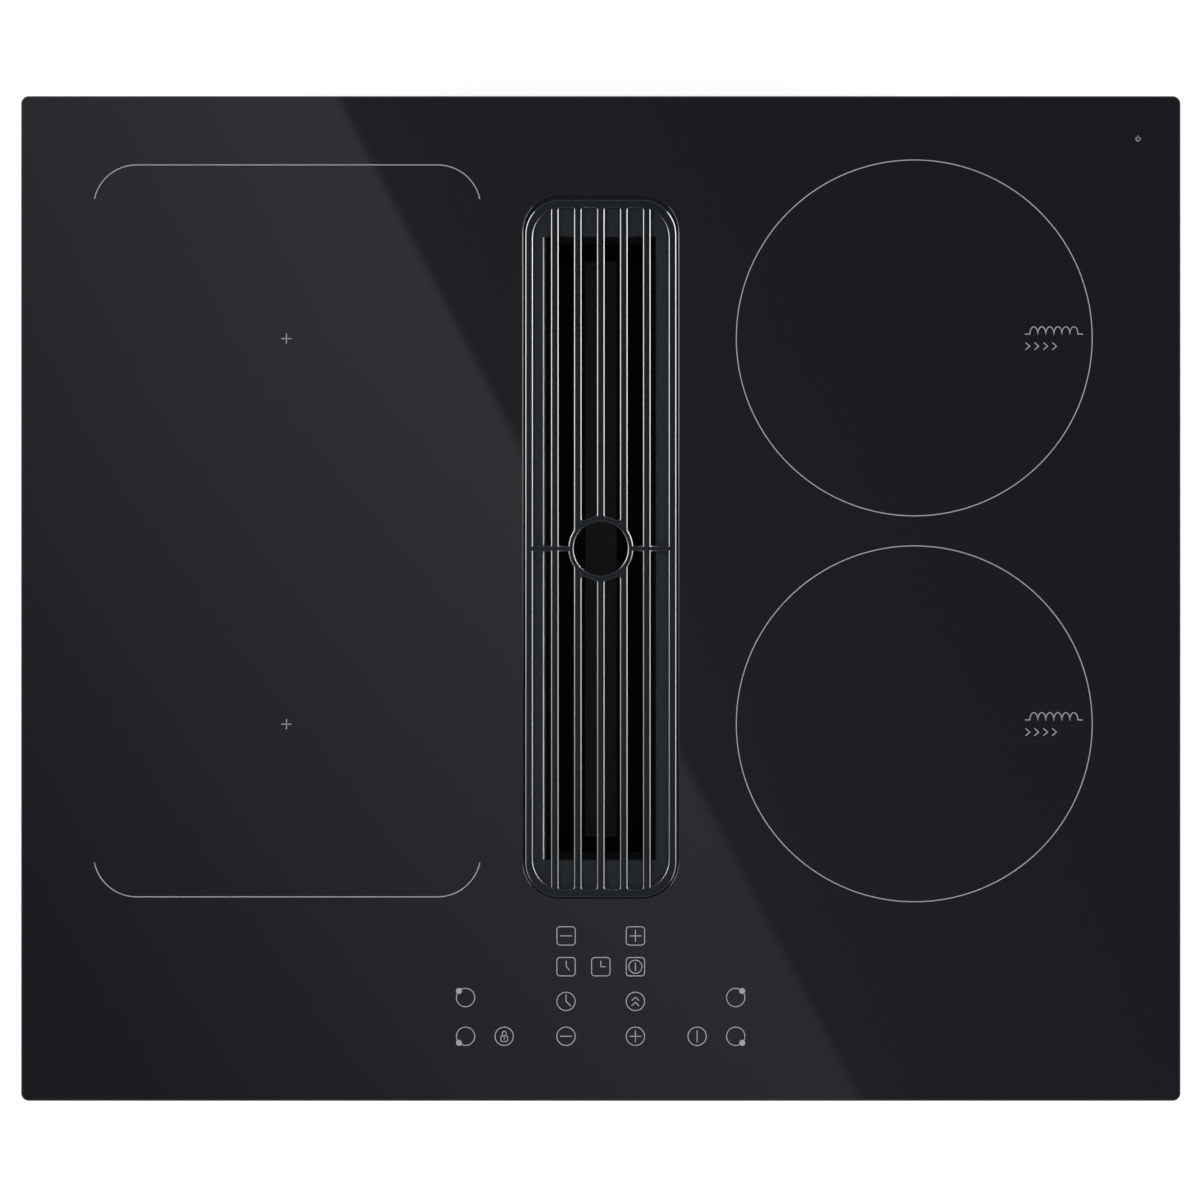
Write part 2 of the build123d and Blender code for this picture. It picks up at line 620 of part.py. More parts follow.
with BuildPart() as filter_frame:
    with BuildSketch(Plane.XY.offset(trough_top_z)):
        with Locations((0, THROAT_Y)):
            Rectangle(THROAT_W - 2 * FILTER_GAP, THROAT_L - 2 * FILTER_GAP)
    extrude(amount=FILTER_FLANGE_T)
    with BuildSketch(Plane.XY.offset(trough_top_z)):
        with Locations((0, THROAT_Y)):
            Rectangle(trough_w, trough_l)
    with BuildSketch(Plane.XY.offset(trough_floor_z)):
        with Locations((0, THROAT_Y)):
            Rectangle(floor_w, floor_l)
    loft()
    with BuildSketch(Plane.XY.offset(trough_top_z + FILTER_FLANGE_T)):
        with Locations((0, THROAT_Y)):
            Rectangle(trough_w - 2 * FILTER_SHEET, trough_l - 2 * FILTER_SHEET)
    with BuildSketch(Plane.XY.offset(trough_floor_z + FILTER_SHEET)):
        with Locations((0, THROAT_Y)):
            Rectangle(FILTER_FLOOR_W, FILTER_FLOOR_L)
    loft(mode=Mode.SUBTRACT)
    with BuildSketch(Plane.YZ.offset(-THROAT_W / 2)):
        with Locations((THROAT_Y, (window_low_z + window_high_z) / 2)):
            with GridLocations(WINDOW_L + WINDOW_POST, 0, 2, 1):
                Rectangle(WINDOW_L, window_high_z - window_low_z)
    extrude(amount=THROAT_W, mode=Mode.SUBTRACT)
write(filter_frame, "filter_frame")

# The mesh packs lean against the trough's inner walls, whose slope comes from the two lofts.
inner_top_x = trough_w / 2 - FILTER_SHEET
inner_floor_x = FILTER_FLOOR_W / 2
inner_rise = FILTER_DEPTH + FILTER_FLANGE_T - FILTER_SHEET
inner_slope = (inner_top_x - inner_floor_x) / inner_rise


def inner_wall_x(z):
    """Half the trough's inner width at height z."""
    return inner_floor_x + (z - trough_floor_z - FILTER_SHEET) * inner_slope


mesh_low_z = window_low_z - MESH_LAP
mesh_high_z = window_high_z + MESH_LAP
for side, sign in SIDES.items():
    with BuildPart() as filter_mesh:
        with BuildSketch(Plane.XZ.offset(-THROAT_Y - FILTER_FLOOR_L / 2 + MESH_END)):
            with BuildLine():
                Polyline(
                    (sign * (inner_wall_x(mesh_low_z) - MESH_GAP), mesh_low_z),
                    (sign * (inner_wall_x(mesh_high_z) - MESH_GAP), mesh_high_z),
                    (sign * (inner_wall_x(mesh_high_z) - MESH_GAP - MESH_T), mesh_high_z),
                    (sign * (inner_wall_x(mesh_low_z) - MESH_GAP - MESH_T), mesh_low_z),
                    close=True,
                )
            make_face()
        extrude(amount=FILTER_FLOOR_L - 2 * MESH_END)
    write(filter_mesh, f"filter_mesh_{side}")

tray_w = FILTER_FLOOR_W - 2 * TRAY_GAP
tray_l = FILTER_FLOOR_L - 2 * TRAY_GAP
with BuildPart() as filter_tray:
    with BuildSketch(Plane.XY.offset(trough_floor_z + FILTER_SHEET)):
        with Locations((0, THROAT_Y)):
            Rectangle(tray_w, tray_l)
    extrude(amount=TRAY_H)
    with BuildSketch(Plane.XY.offset(trough_floor_z + FILTER_SHEET + TRAY_T)):
        with Locations((0, THROAT_Y)):
            Rectangle(tray_w - 2 * TRAY_T, tray_l - 2 * TRAY_T)
    extrude(amount=TRAY_H, mode=Mode.SUBTRACT)
write(filter_tray, "filter_tray")

# ================================================================ well and steel casing
well_bottom_z = CASE_FLOOR_Z - WELL_BELOW_CASING
with BuildPart() as air_well:
    with BuildSketch(Plane.XY.offset(well_bottom_z)):
        with Locations((0, THROAT_Y)):
            RectangleRounded(WELL_W + 2 * WELL_T, WELL_L + 2 * WELL_T, WELL_CORNER + WELL_T)
            RectangleRounded(WELL_W, WELL_L, WELL_CORNER, mode=Mode.SUBTRACT)
    extrude(amount=NECK_TOP_Z - well_bottom_z)
write(air_well, "air_well")

case_hole_w = WELL_W + 2 * (WELL_T + CASE_WELL_GAP)
case_hole_l = WELL_L + 2 * (WELL_T + CASE_WELL_GAP)
case_hole_corner = WELL_CORNER + WELL_T + CASE_WELL_GAP
slot_mid_z = (GLASS_Z + CASE_FLOOR_Z) / 2
with BuildPart() as casing_tray:
    with BuildSketch(Plane.XY.offset(CASE_FLOOR_Z)):
        RectangleRounded(CASE_W, CASE_D, CASE_CORNER)
    extrude(amount=CASE_DEPTH)
    with BuildSketch(Plane.XY.offset(GLASS_Z - SHEET)):
        RectangleRounded(CASE_W + 2 * CASE_FLANGE, CASE_D + 2 * CASE_FLANGE, CASE_CORNER)
    extrude(amount=SHEET)
    with BuildSketch(Plane.XY.offset(CASE_INNER_Z)):
        RectangleRounded(CASE_W - 2 * SHEET, CASE_D - 2 * SHEET, CASE_CORNER - SHEET)
    extrude(amount=CASE_DEPTH, mode=Mode.SUBTRACT)
    # board standoffs on the floor
    with BuildSketch(Plane.XY.offset(CASE_INNER_Z)):
        with Locations((-PLATE_X, BOARD_Y), (PLATE_X, BOARD_Y)):
            with GridLocations(BOARD_W - 2 * STANDOFF_INSET, BOARD_L - 2 * STANDOFF_INSET, 2, 2):
                Circle(STANDOFF_R)
    extrude(amount=BOARD_STANDOFF)
    # opening for the well, air inlets under the fans, pivot holes for the clamps
    with BuildSketch(Plane.XY.offset(CASE_FLOOR_Z)):
        with Locations((0, THROAT_Y)):
            RectangleRounded(case_hole_w, case_hole_l, case_hole_corner)
        for sign in SIDES.values():
            with Locations((sign * FAN_X, FAN_Y)):
                with PolarLocations(INLET_SLOT_R, INLET_SLOTS):
                    SlotOverall(INLET_SLOT_L, INLET_SLOT_W)
        with Locations(*CLAMPS.values()):
            Circle(CLAMP_PIVOT_R + RUNNING_GAP)
    extrude(amount=SHEET, mode=Mode.SUBTRACT)
    # cooling slots through both side walls and the rear wall
    with BuildSketch(Plane.YZ.offset(-CASE_W / 2)):
        with Locations((SIDE_SLOT_Y, slot_mid_z)):
            with GridLocations(SIDE_SLOT_PITCH, 0, SIDE_SLOT_COUNT, 1):
                SlotOverall(SIDE_SLOT_L, SIDE_SLOT_W, rotation=90)
    extrude(amount=CASE_W, mode=Mode.SUBTRACT)
    with BuildSketch(Plane.XZ.offset(-CASE_D / 2)):
        for sign in SIDES.values():
            with Locations((sign * PLATE_X, slot_mid_z)):
                with GridLocations(SIDE_SLOT_PITCH, 0, REAR_SLOT_COUNT, 1):
                    SlotOverall(SIDE_SLOT_L, SIDE_SLOT_W, rotation=90)
    extrude(amount=SHEET, mode=Mode.SUBTRACT)
write(casing_tray, "casing_tray")

# ================================================================ induction coils
for zone, (zone_x, zone_y) in ZONES.items():
    with BuildPart() as coil_former:
        with BuildSketch(Plane.XY.offset(FORMER_Z)):
            with Locations((zone_x, zone_y)):
                Circle(FORMER_R)
                Circle(SENSOR_R + SENSOR_GAP, mode=Mode.SUBTRACT)
        extrude(amount=FORMER_T)
        with BuildSketch(Plane.XY.offset(FORMER_Z + FORMER_T)):
            with Locations((zone_x, zone_y)):
                Circle(COIL_INNER_R - COIL_PITCH)
                Circle(SENSOR_R + SENSOR_GAP, mode=Mode.SUBTRACT)
        extrude(amount=COIL_WIRE_H)
    write(coil_former, f"coil_former_{zone}")


def spiral_edge(x, y, shift):
    """Half-turn arcs whose radius grows by half a pitch each, all shifted outward by shift."""
    edges = []
    for half in range(2 * COIL_TURNS):
        centre_x = x + (COIL_PITCH / 4 if half % 2 else -COIL_PITCH / 4)
        radius = COIL_INNER_R + half * COIL_PITCH / 2 + shift
        edges.append(CenterArc((centre_x, y), radius, 180 * (half % 2), 180))
    return edges


print("least gap between the winding's turns:", round(COIL_PITCH - COIL_WIRE_W, 3))
for zone, (zone_x, zone_y) in ZONES.items():
    with BuildPart() as coil_winding:
        with BuildSketch(Plane.XY.offset(WINDING_Z)):
            with BuildLine():
                inner = spiral_edge(zone_x, zone_y, -COIL_WIRE_W / 2)
                outer = spiral_edge(zone_x, zone_y, COIL_WIRE_W / 2)
                Line(inner[0] @ 0, outer[0] @ 0)
                Line(inner[-1] @ 1, outer[-1] @ 1)
            make_face()
        extrude(amount=COIL_WIRE_H)
    write(coil_winding, f"coil_winding_{zone}")

with BuildPart() as ferrite_bars:
    with BuildSketch(Plane.XY.offset(FERRITE_Z)):
        for centre in ZONES.values():
            with Locations(centre):
                with PolarLocations(FERRITE_MID_R, FERRITE_COUNT):
                    Rectangle(FERRITE_L, FERRITE_W)
    extrude(amount=FERRITE_T)
write(ferrite_bars, "ferrite_bars")

with BuildPart() as mica_sheets:
    with BuildSketch(Plane.XY.offset(MICA_Z)):
        with Locations(*ZONES.values()):
            Circle(FORMER_R - MICA_INSET)
            Circle(SENSOR_R + SENSOR_GAP, mode=Mode.SUBTRACT)
    extrude(amount=MICA_T)
write(mica_sheets, "mica_sheets")

with BuildPart() as coil_sensors:
    with BuildSketch(Plane.XY.offset(PLATE_Z + PLATE_T)):
        with Locations(*ZONES.values()):
            Circle(SENSOR_R)
    extrude(amount=GLASS_Z - PLATE_Z - PLATE_T)
write(coil_sensors, "coil_sensors")

for side, sign in SIDES.items():
    with BuildPart() as coil_plate:
        with BuildSketch(Plane.XY.offset(PLATE_Z)):
            with Locations((sign * PLATE_X, PLATE_Y)):
                RectangleRounded(PLATE_W, PLATE_L, PLATE_CORNER)
        extrude(amount=PLATE_T)
    write(coil_plate, f"coil_plate_{side}")

with BuildPart() as plate_pillars:
    with BuildSketch(Plane.XY.offset(CASE_INNER_Z)):
        for sign in SIDES.values():
            with Locations((sign * PLATE_X, PLATE_Y)):
                with GridLocations(PLATE_W - 2 * PILLAR_INSET, PLATE_L - 2 * PILLAR_INSET, 2, 2):
                    Circle(PILLAR_R)
    extrude(amount=PLATE_Z - CASE_INNER_Z)
write(plate_pillars, "plate_pillars")

# ================================================================ power electronics and cooling fans
for side, sign in SIDES.items():
    with BuildPart() as power_board:
        with BuildSketch(Plane.XY.offset(BOARD_Z)):
            with Locations((sign * PLATE_X, BOARD_Y)):
                Rectangle(BOARD_W, BOARD_L)
        extrude(amount=BOARD_T)
    write(power_board, f"power_board_{side}")

    with BuildPart() as heatsink:
        with BuildSketch(Plane.XY.offset(BOARD_TOP_Z)):
            with Locations((sign * SINK_X, BOARD_Y)):
                Rectangle(SINK_W, SINK_L)
        extrude(amount=SINK_BASE)
        with BuildSketch(Plane.XY.offset(BOARD_TOP_Z + SINK_BASE)):
            with Locations((sign * SINK_X, BOARD_Y)):
                with GridLocations((SINK_W - SINK_FIN_T) / (SINK_FINS - 1), 0, SINK_FINS, 1):
                    Rectangle(SINK_FIN_T, SINK_L)
        extrude(amount=SINK_H - SINK_BASE)
    write(heatsink, f"heatsink_{side}")

with BuildPart() as capacitors:
    with BuildSketch(Plane.XY.offset(BOARD_TOP_Z)):
        for sign in SIDES.values():
            with Locations((sign * CAPACITOR_X, BOARD_Y)):
                with GridLocations(CAPACITOR_PITCH, CAPACITOR_PITCH, 2, 4):
                    Circle(CAPACITOR_R)
    extrude(amount=CAPACITOR_H)
write(capacitors, "capacitors")

with BuildPart() as filter_chokes:
    with BuildSketch(Plane.XY.offset(BOARD_TOP_Z)):
        for sign in SIDES.values():
            with Locations((sign * CHOKE_X, CHOKE_Y)):
                with GridLocations(CHOKE_PITCH, 0, 2, 1):
                    Circle(CHOKE_R)
                    Circle(CHOKE_BORE_R, mode=Mode.SUBTRACT)
    extrude(amount=CHOKE_H)
write(filter_chokes, "filter_chokes")

rotor_z = CASE_INNER_Z + FAN_SPIDER_T + FAN_ROTOR_GAP
for side, sign in SIDES.items():
    with BuildPart() as fan_frame:
        with BuildSketch(Plane.XY.offset(CASE_INNER_Z)):
            with Locations((sign * FAN_X, FAN_Y)):
                RectangleRounded(FAN_SIZE, FAN_SIZE, FAN_CORNER)
                Circle(FAN_BORE_R, mode=Mode.SUBTRACT)
        extrude(amount=FAN_H)
        with BuildSketch(Plane.XY.offset(CASE_INNER_Z)):
            with Locations((sign * FAN_X, FAN_Y)):
                Circle(FAN_HUB_R)
                Rectangle(2 * FAN_BORE_R + FAN_CORNER / 2, FAN_SPOKE_W)
                Rectangle(FAN_SPOKE_W, 2 * FAN_BORE_R + FAN_CORNER / 2)
                Circle(FAN_SHAFT_R + RUNNING_GAP, mode=Mode.SUBTRACT)
        extrude(amount=FAN_SPIDER_T)
    write(fan_frame, f"fan_frame_{side}")

    blade_l = FAN_BORE_R - FAN_TIP_GAP - FAN_HUB_R
    with BuildPart() as fan_rotor:
        with BuildSketch(Plane.XY.offset(rotor_z)):
            with Locations((sign * FAN_X, FAN_Y)):
                Circle(FAN_HUB_R)
        extrude(amount=FAN_ROTOR_H)
        with BuildSketch(Plane.XY.offset(CASE_INNER_Z + SHAFT_END_GAP)):
            with Locations((sign * FAN_X, FAN_Y)):
                Circle(FAN_SHAFT_R)
        extrude(amount=rotor_z - CASE_INNER_Z - SHAFT_END_GAP)
        with Locations((sign * FAN_X, FAN_Y, rotor_z + FAN_ROTOR_H / 2)):
            with PolarLocations(FAN_HUB_R + blade_l / 2 - FAN_BLADE_ROOT, FAN_BLADES):
                Box(blade_l, FAN_BLADE_T, FAN_BLADE_W, rotation=(FAN_BLADE_TILT, 0, 0))
    write(fan_rotor, f"fan_rotor_{side}")

# ================================================================ touch control
with BuildPart() as touch_carrier:
    with BuildSketch(Plane.XY.offset(TOUCH_FLOOR_Z)):
        with Locations((0, TOUCH_Y)):
            Rectangle(CARRIER_W, CARRIER_L)
    extrude(amount=TOUCH_DEPTH)
    with BuildSketch(Plane.XY.offset(TOUCH_BOARD_Z)):
        with Locations((0, TOUCH_Y)):
            Rectangle(CARRIER_W - 2 * TOUCH_WALL, CARRIER_L - 2 * TOUCH_WALL)
    extrude(amount=TOUCH_DEPTH, mode=Mode.SUBTRACT)
write(touch_carrier, "touch_carrier")

with BuildPart() as touch_board:
    with BuildSketch(Plane.XY.offset(TOUCH_BOARD_Z)):
        with Locations((0, TOUCH_Y)):
            Rectangle(TOUCH_W, TOUCH_L)
    extrude(amount=TOUCH_T)
write(touch_board, "touch_board")

with BuildPart() as touch_springs:
    with BuildSketch(Plane.XY.offset(TOUCH_BOARD_Z + TOUCH_T)):
        with Locations((0, TOUCH_Y)):
            with Locations(*KEYS):
                Circle(KEY_R)
    extrude(amount=GLASS_Z - TOUCH_BOARD_Z - TOUCH_T)
write(touch_springs, "touch_springs")

# ================================================================ lower housing, seal and overflow tank
with BuildPart() as plenum_seal:
    with BuildSketch(Plane.XY.offset(HOUSING_TOP_Z)):
        with Locations((0, HOUSING_Y)):
            Rectangle(HOUSING_W + 2 * HOUSING_FLANGE, HOUSING_L + 2 * HOUSING_FLANGE)
            Rectangle(
                HOUSING_W - 2 * HOUSING_T, HOUSING_L - 2 * HOUSING_T, mode=Mode.SUBTRACT
            )
    extrude(amount=PLENUM_SEAL_T)
write(plenum_seal, "plenum_seal")

tank_hole_h = TANK_RUN_GAP + TANK_H + TANK_SIDE_GAP
with BuildPart() as lower_housing:
    with BuildSketch(Plane.XY.offset(HOUSING_Z)):
        with Locations((0, HOUSING_Y)):
            RectangleRounded(HOUSING_W, HOUSING_L, HOUSING_CORNER)
    extrude(amount=HOUSING_H)
    chamfer(lower_housing.faces().sort_by(Axis.Z)[0].edges(), HOUSING_EDGE)
    # shallow pockets in the underside, which leave a grid of stiffening ribs
    with BuildSketch(Plane.XY.offset(HOUSING_Z)):
        with Locations((0, HOUSING_Y)):
            with GridLocations(POCKET_PITCH_X, POCKET_PITCH_Y, POCKET_COLUMNS, POCKET_ROWS):
                RectangleRounded(
                    POCKET_PITCH_X - POCKET_GAP, POCKET_PITCH_Y - POCKET_GAP, POCKET_CORNER
                )
    extrude(amount=POCKET_DEPTH, mode=Mode.SUBTRACT)
    with BuildSketch(Plane.XY.offset(HOUSING_TOP_Z - HOUSING_T)):
        with Locations((0, HOUSING_Y)):
            RectangleRounded(
                HOUSING_W + 2 * HOUSING_FLANGE, HOUSING_L + 2 * HOUSING_FLANGE, HOUSING_CORNER
            )
    extrude(amount=HOUSING_T)
    with BuildSketch(Plane.XY.offset(HOUSING_INNER_Z)):
        with Locations((0, HOUSING_Y)):
            RectangleRounded(
                HOUSING_W - 2 * HOUSING_T, HOUSING_L - 2 * HOUSING_T, HOUSING_CORNER - HOUSING_T
            )
    extrude(amount=HOUSING_H, mode=Mode.SUBTRACT)
    # posts for the blower's grommets
    with BuildSketch(Plane.XY.offset(HOUSING_INNER_Z)):
        with Locations((BLOWER_X, BLOWER_Y)):
            with PolarLocations(POST_CIRCLE_R, POST_COUNT, start_angle=90):
                Circle(GROMMET_R)
    extrude(amount=POST_H)
    with BuildSketch(Plane.XY.offset(HOUSING_INNER_Z + POST_H)):
        with Locations((BLOWER_X, BLOWER_Y)):
            with PolarLocations(POST_CIRCLE_R, POST_COUNT, start_angle=90):
                Circle(GROMMET_BORE_R - RUNNING_GAP)
    extrude(amount=GROMMET_H)
    # runners for the tank, and its way out through the front wall
    with BuildSketch(Plane.XY.offset(HOUSING_INNER_Z)):
        with Locations((0, (HOUSING_FRONT_Y + TANK_REAR_Y) / 2)):
            with GridLocations(TANK_W - 2 * TANK_RUNNER_INSET, 0, 2, 1):
                Rectangle(TANK_RUNNER_W, TANK_REAR_Y - HOUSING_FRONT_Y)
    extrude(amount=TANK_RUNNER_H)
    with BuildSketch(Plane.XZ.offset(-HOUSING_FRONT_Y)):
        with Locations((0, TANK_Z - TANK_RUN_GAP + tank_hole_h / 2)):
            Rectangle(TANK_W + 2 * TANK_SIDE_GAP, tank_hole_h)
    extrude(amount=-HOUSING_T, mode=Mode.SUBTRACT)
    # way out for the duct collar
    with BuildSketch(Plane.XZ.offset(-HOUSING_REAR_Y)):
        with Locations((DUCT_X, DUCT_Z)):
            Rectangle(DUCT_W + 2 * DUCT_GAP, DUCT_H + 2 * DUCT_GAP)
    extrude(amount=HOUSING_T, mode=Mode.SUBTRACT)
write(lower_housing, "lower_housing")

tank_y = (TANK_FRONT_Y + TANK_REAR_Y) / 2
tank_l = TANK_REAR_Y - TANK_FRONT_Y
with BuildPart() as overflow_tank:
    with BuildSketch(Plane.XY.offset(TANK_Z)):
        with Locations((0, tank_y)):
            RectangleRounded(TANK_W, tank_l, TANK_CORNER)
    extrude(amount=TANK_H)
    with BuildSketch(Plane.XZ.offset(-TANK_FRONT_Y)):
        with Locations((0, TANK_Z + TANK_H / 2)):
            RectangleRounded(
                TANK_W + 2 * TANK_FRONT_MARGIN, TANK_H + TANK_FRONT_MARGIN, TANK_FRONT_MARGIN / 2
            )
    extrude(amount=TANK_FRONT_T)
    with BuildSketch(Plane.XY.offset(TANK_Z + TANK_T)):
        with Locations((0, tank_y)):
            RectangleRounded(TANK_W - 2 * TANK_T, tank_l - 2 * TANK_T, TANK_CORNER - TANK_T)
    extrude(amount=TANK_H, mode=Mode.SUBTRACT)
    with BuildSketch(Plane.XZ.offset(-TANK_FRONT_Y + TANK_FRONT_T)):
        with Locations((0, TANK_Z + TANK_H - TANK_PULL_DROP)):
            RectangleRounded(TANK_PULL_W, TANK_PULL_H, TANK_PULL_H / 3)
    extrude(amount=TANK_PULL_D)
write(overflow_tank, "overflow_tank")

# ================================================================ blower
def scroll_outline():
    """Draws the scroll's inner outline: four widening arcs, then the channel that opens to the duct."""
    centre_x = BLOWER_X
    centre_y = BLOWER_Y
    radius = SCROLL_R
    start = SCROLL_TONGUE
    for joint in (90, 180, 270, 360):
        CenterArc((centre_x, centre_y), radius, start, joint - start)
        centre_x -= SCROLL_STEP * cos(radians(joint))
        centre_y -= SCROLL_STEP * sin(radians(joint))
        radius += SCROLL_STEP
        start = joint
    half_w = DUCT_W / 2 - DUCT_T
    Polyline(
        (SCROLL_RIGHT_X, centre_y),
        (SCROLL_RIGHT_X, SCROLL_STRAIGHT_Y),
        (DUCT_X + half_w, COLLAR_START_Y),
        (DUCT_X + half_w, COLLAR_START_Y + SCROLL_OVERRUN),
        (DUCT_X - half_w, COLLAR_START_Y + SCROLL_OVERRUN),
        (DUCT_X - half_w, COLLAR_START_Y),
        (TONGUE_X, SCROLL_STRAIGHT_Y),
        (TONGUE_X, TONGUE_Y),
    )


with BuildSketch() as scroll_flow:
    with BuildLine():
        scroll_outline()
    make_face()
with BuildSketch() as scroll_shell:
    add(scroll_flow.sketch)
    offset(amount=SCROLL_T)
    with Locations((DUCT_X, COLLAR_START_Y + DUCT_W / 2)):
        Rectangle(2 * DUCT_W, DUCT_W, mode=Mode.SUBTRACT)
with BuildSketch() as scroll_lip:
    add(scroll_flow.sketch)
    offset(amount=SCROLL_T + SCROLL_LIP)
    with Locations((DUCT_X, COLLAR_START_Y + DUCT_W / 2 - SCROLL_LIP)):
        Rectangle(2 * DUCT_W, DUCT_W, mode=Mode.SUBTRACT)


with BuildPart() as scroll_lower:
    extrude(at_height(scroll_shell, SCROLL_Z), amount=SCROLL_LOWER_H, dir=(0, 0, 1))
    extrude(at_height(scroll_lip, SPLIT_Z - SCROLL_T), amount=SCROLL_T, dir=(0, 0, 1))
    extrude(
        at_height(scroll_flow, SCROLL_FLOOR_Z), amount=DUCT_H, dir=(0, 0, 1), mode=Mode.SUBTRACT
    )
    with BuildSketch(Plane.XY.offset(SCROLL_Z)):
        with Locations((BLOWER_X, BLOWER_Y)):
            with PolarLocations(POST_CIRCLE_R, POST_COUNT, start_angle=90):
                Circle(GROMMET_BORE_R)
    extrude(amount=SCROLL_T, mode=Mode.SUBTRACT)
write(scroll_lower, "scroll_lower")

with BuildPart() as scroll_upper:
    extrude(
        at_height(scroll_shell, SPLIT_Z), amount=SCROLL_TOP_Z - SPLIT_Z, dir=(0, 0, 1)
    )
    extrude(at_height(scroll_lip, SPLIT_Z), amount=SCROLL_T, dir=(0, 0, 1))
    extrude(
        at_height(scroll_flow, SCROLL_Z),
        amount=DUCT_H - SCROLL_T,
        dir=(0, 0, 1),
        mode=Mode.SUBTRACT,
    )
    with BuildSketch(Plane.XY.offset(SCROLL_TOP_Z)):
        with Locations((BLOWER_X, BLOWER_Y)):
            Circle(INLET_R + SCROLL_T)
    extrude(amount=INLET_LIP_H)
    with BuildSketch(Plane.XY.offset(SCROLL_TOP_Z - SCROLL_T)):
        with Locations((BLOWER_X, BLOWER_Y)):
            Circle(INLET_R)
    extrude(amount=SCROLL_T + INLET_LIP_H, mode=Mode.SUBTRACT)
write(scroll_upper, "scroll_upper")

with BuildPart() as blower_grommets:
    with BuildSketch(Plane.XY.offset(HOUSING_INNER_Z + POST_H)):
        with Locations((BLOWER_X, BLOWER_Y)):
            with PolarLocations(POST_CIRCLE_R, POST_COUNT, start_angle=90):
                Circle(GROMMET_R)
                Circle(GROMMET_BORE_R, mode=Mode.SUBTRACT)
    extrude(amount=GROMMET_H)
write(blower_grommets, "blower_grommets")

with BuildPart() as motor_case:
    with BuildSketch(Plane.XY.offset(SCROLL_FLOOR_Z)):
        with Locations((BLOWER_X, BLOWER_Y)):
            Circle(MOTOR_R)
    extrude(amount=MOTOR_H)
    with BuildSketch(Plane.XY.offset(SCROLL_FLOOR_Z + MOTOR_T)):
        with Locations((BLOWER_X, BLOWER_Y)):
            Circle(MOTOR_R - MOTOR_T)
            Circle(BEARING_R + MOTOR_T, mode=Mode.SUBTRACT)
    extrude(amount=BEARING_H, mode=Mode.SUBTRACT)
    with BuildSketch(Plane.XY.offset(SCROLL_FLOOR_Z + MOTOR_T + BEARING_H)):
        with Locations((BLOWER_X, BLOWER_Y)):
            Circle(MOTOR_R - MOTOR_T)
    extrude(amount=MOTOR_H - 2 * MOTOR_T - BEARING_H, mode=Mode.SUBTRACT)
    with BuildSketch(Plane.XY.offset(SCROLL_FLOOR_Z + MOTOR_T)):
        with Locations((BLOWER_X, BLOWER_Y)):
            Circle(BEARING_R)
    extrude(amount=MOTOR_H, mode=Mode.SUBTRACT)
    with BuildSketch(Plane.XY.offset(MOTOR_TOP_Z - MOTOR_T - BEARING_H)):
        with Locations((BLOWER_X, BLOWER_Y)):
            Circle(BEARING_R + MOTOR_T)
            Circle(BEARING_R, mode=Mode.SUBTRACT)
    extrude(amount=BEARING_H + MOTOR_T)
write(motor_case, "motor_case")

with BuildPart() as motor_bearings:
    for bearing_z in (SCROLL_FLOOR_Z + MOTOR_T, MOTOR_TOP_Z - BEARING_H):
        with BuildSketch(Plane.XY.offset(bearing_z)):
            with Locations((BLOWER_X, BLOWER_Y)):
                Circle(BEARING_R - RUNNING_GAP)
                Circle(SHAFT_R + RUNNING_GAP, mode=Mode.SUBTRACT)
        extrude(amount=BEARING_H)
write(motor_bearings, "motor_bearings")

stator_z = SCROLL_FLOOR_Z + MOTOR_T + BEARING_H + ROTOR_GAP
with BuildPart() as motor_stator:
    with BuildSketch(Plane.XY.offset(stator_z)):
        with Locations((BLOWER_X, BLOWER_Y)):
            Circle(MOTOR_R - MOTOR_T - STATOR_GAP)
            Circle(STATOR_BORE_R, mode=Mode.SUBTRACT)
    extrude(amount=STATOR_H)
write(motor_stator, "motor_stator")

with BuildPart() as motor_rotor:
    with BuildSketch(Plane.XY.offset(stator_z + ROTOR_GAP)):
        with Locations((BLOWER_X, BLOWER_Y)):
            Circle(STATOR_BORE_R - ROTOR_GAP)
            Circle(SHAFT_R, mode=Mode.SUBTRACT)
    extrude(amount=STATOR_H - 2 * ROTOR_GAP)
write(motor_rotor, "motor_rotor")

dome_top_z = MOTOR_TOP_Z + DOME_TOP_GAP
impeller_z = SCROLL_FLOOR_Z + IMPELLER_FLOOR_GAP
impeller_top_z = SCROLL_TOP_Z - SCROLL_T - IMPELLER_TOP_GAP
dome_r = MOTOR_R + DOME_GAP
with BuildPart() as motor_shaft:
    with BuildSketch(Plane.XY.offset(SCROLL_FLOOR_Z + MOTOR_T + SHAFT_END_GAP)):
        with Locations((BLOWER_X, BLOWER_Y)):
            Circle(SHAFT_R)
    extrude(amount=dome_top_z + HUB_H - SCROLL_FLOOR_Z - MOTOR_T - SHAFT_END_GAP)
write(motor_shaft, "motor_shaft")

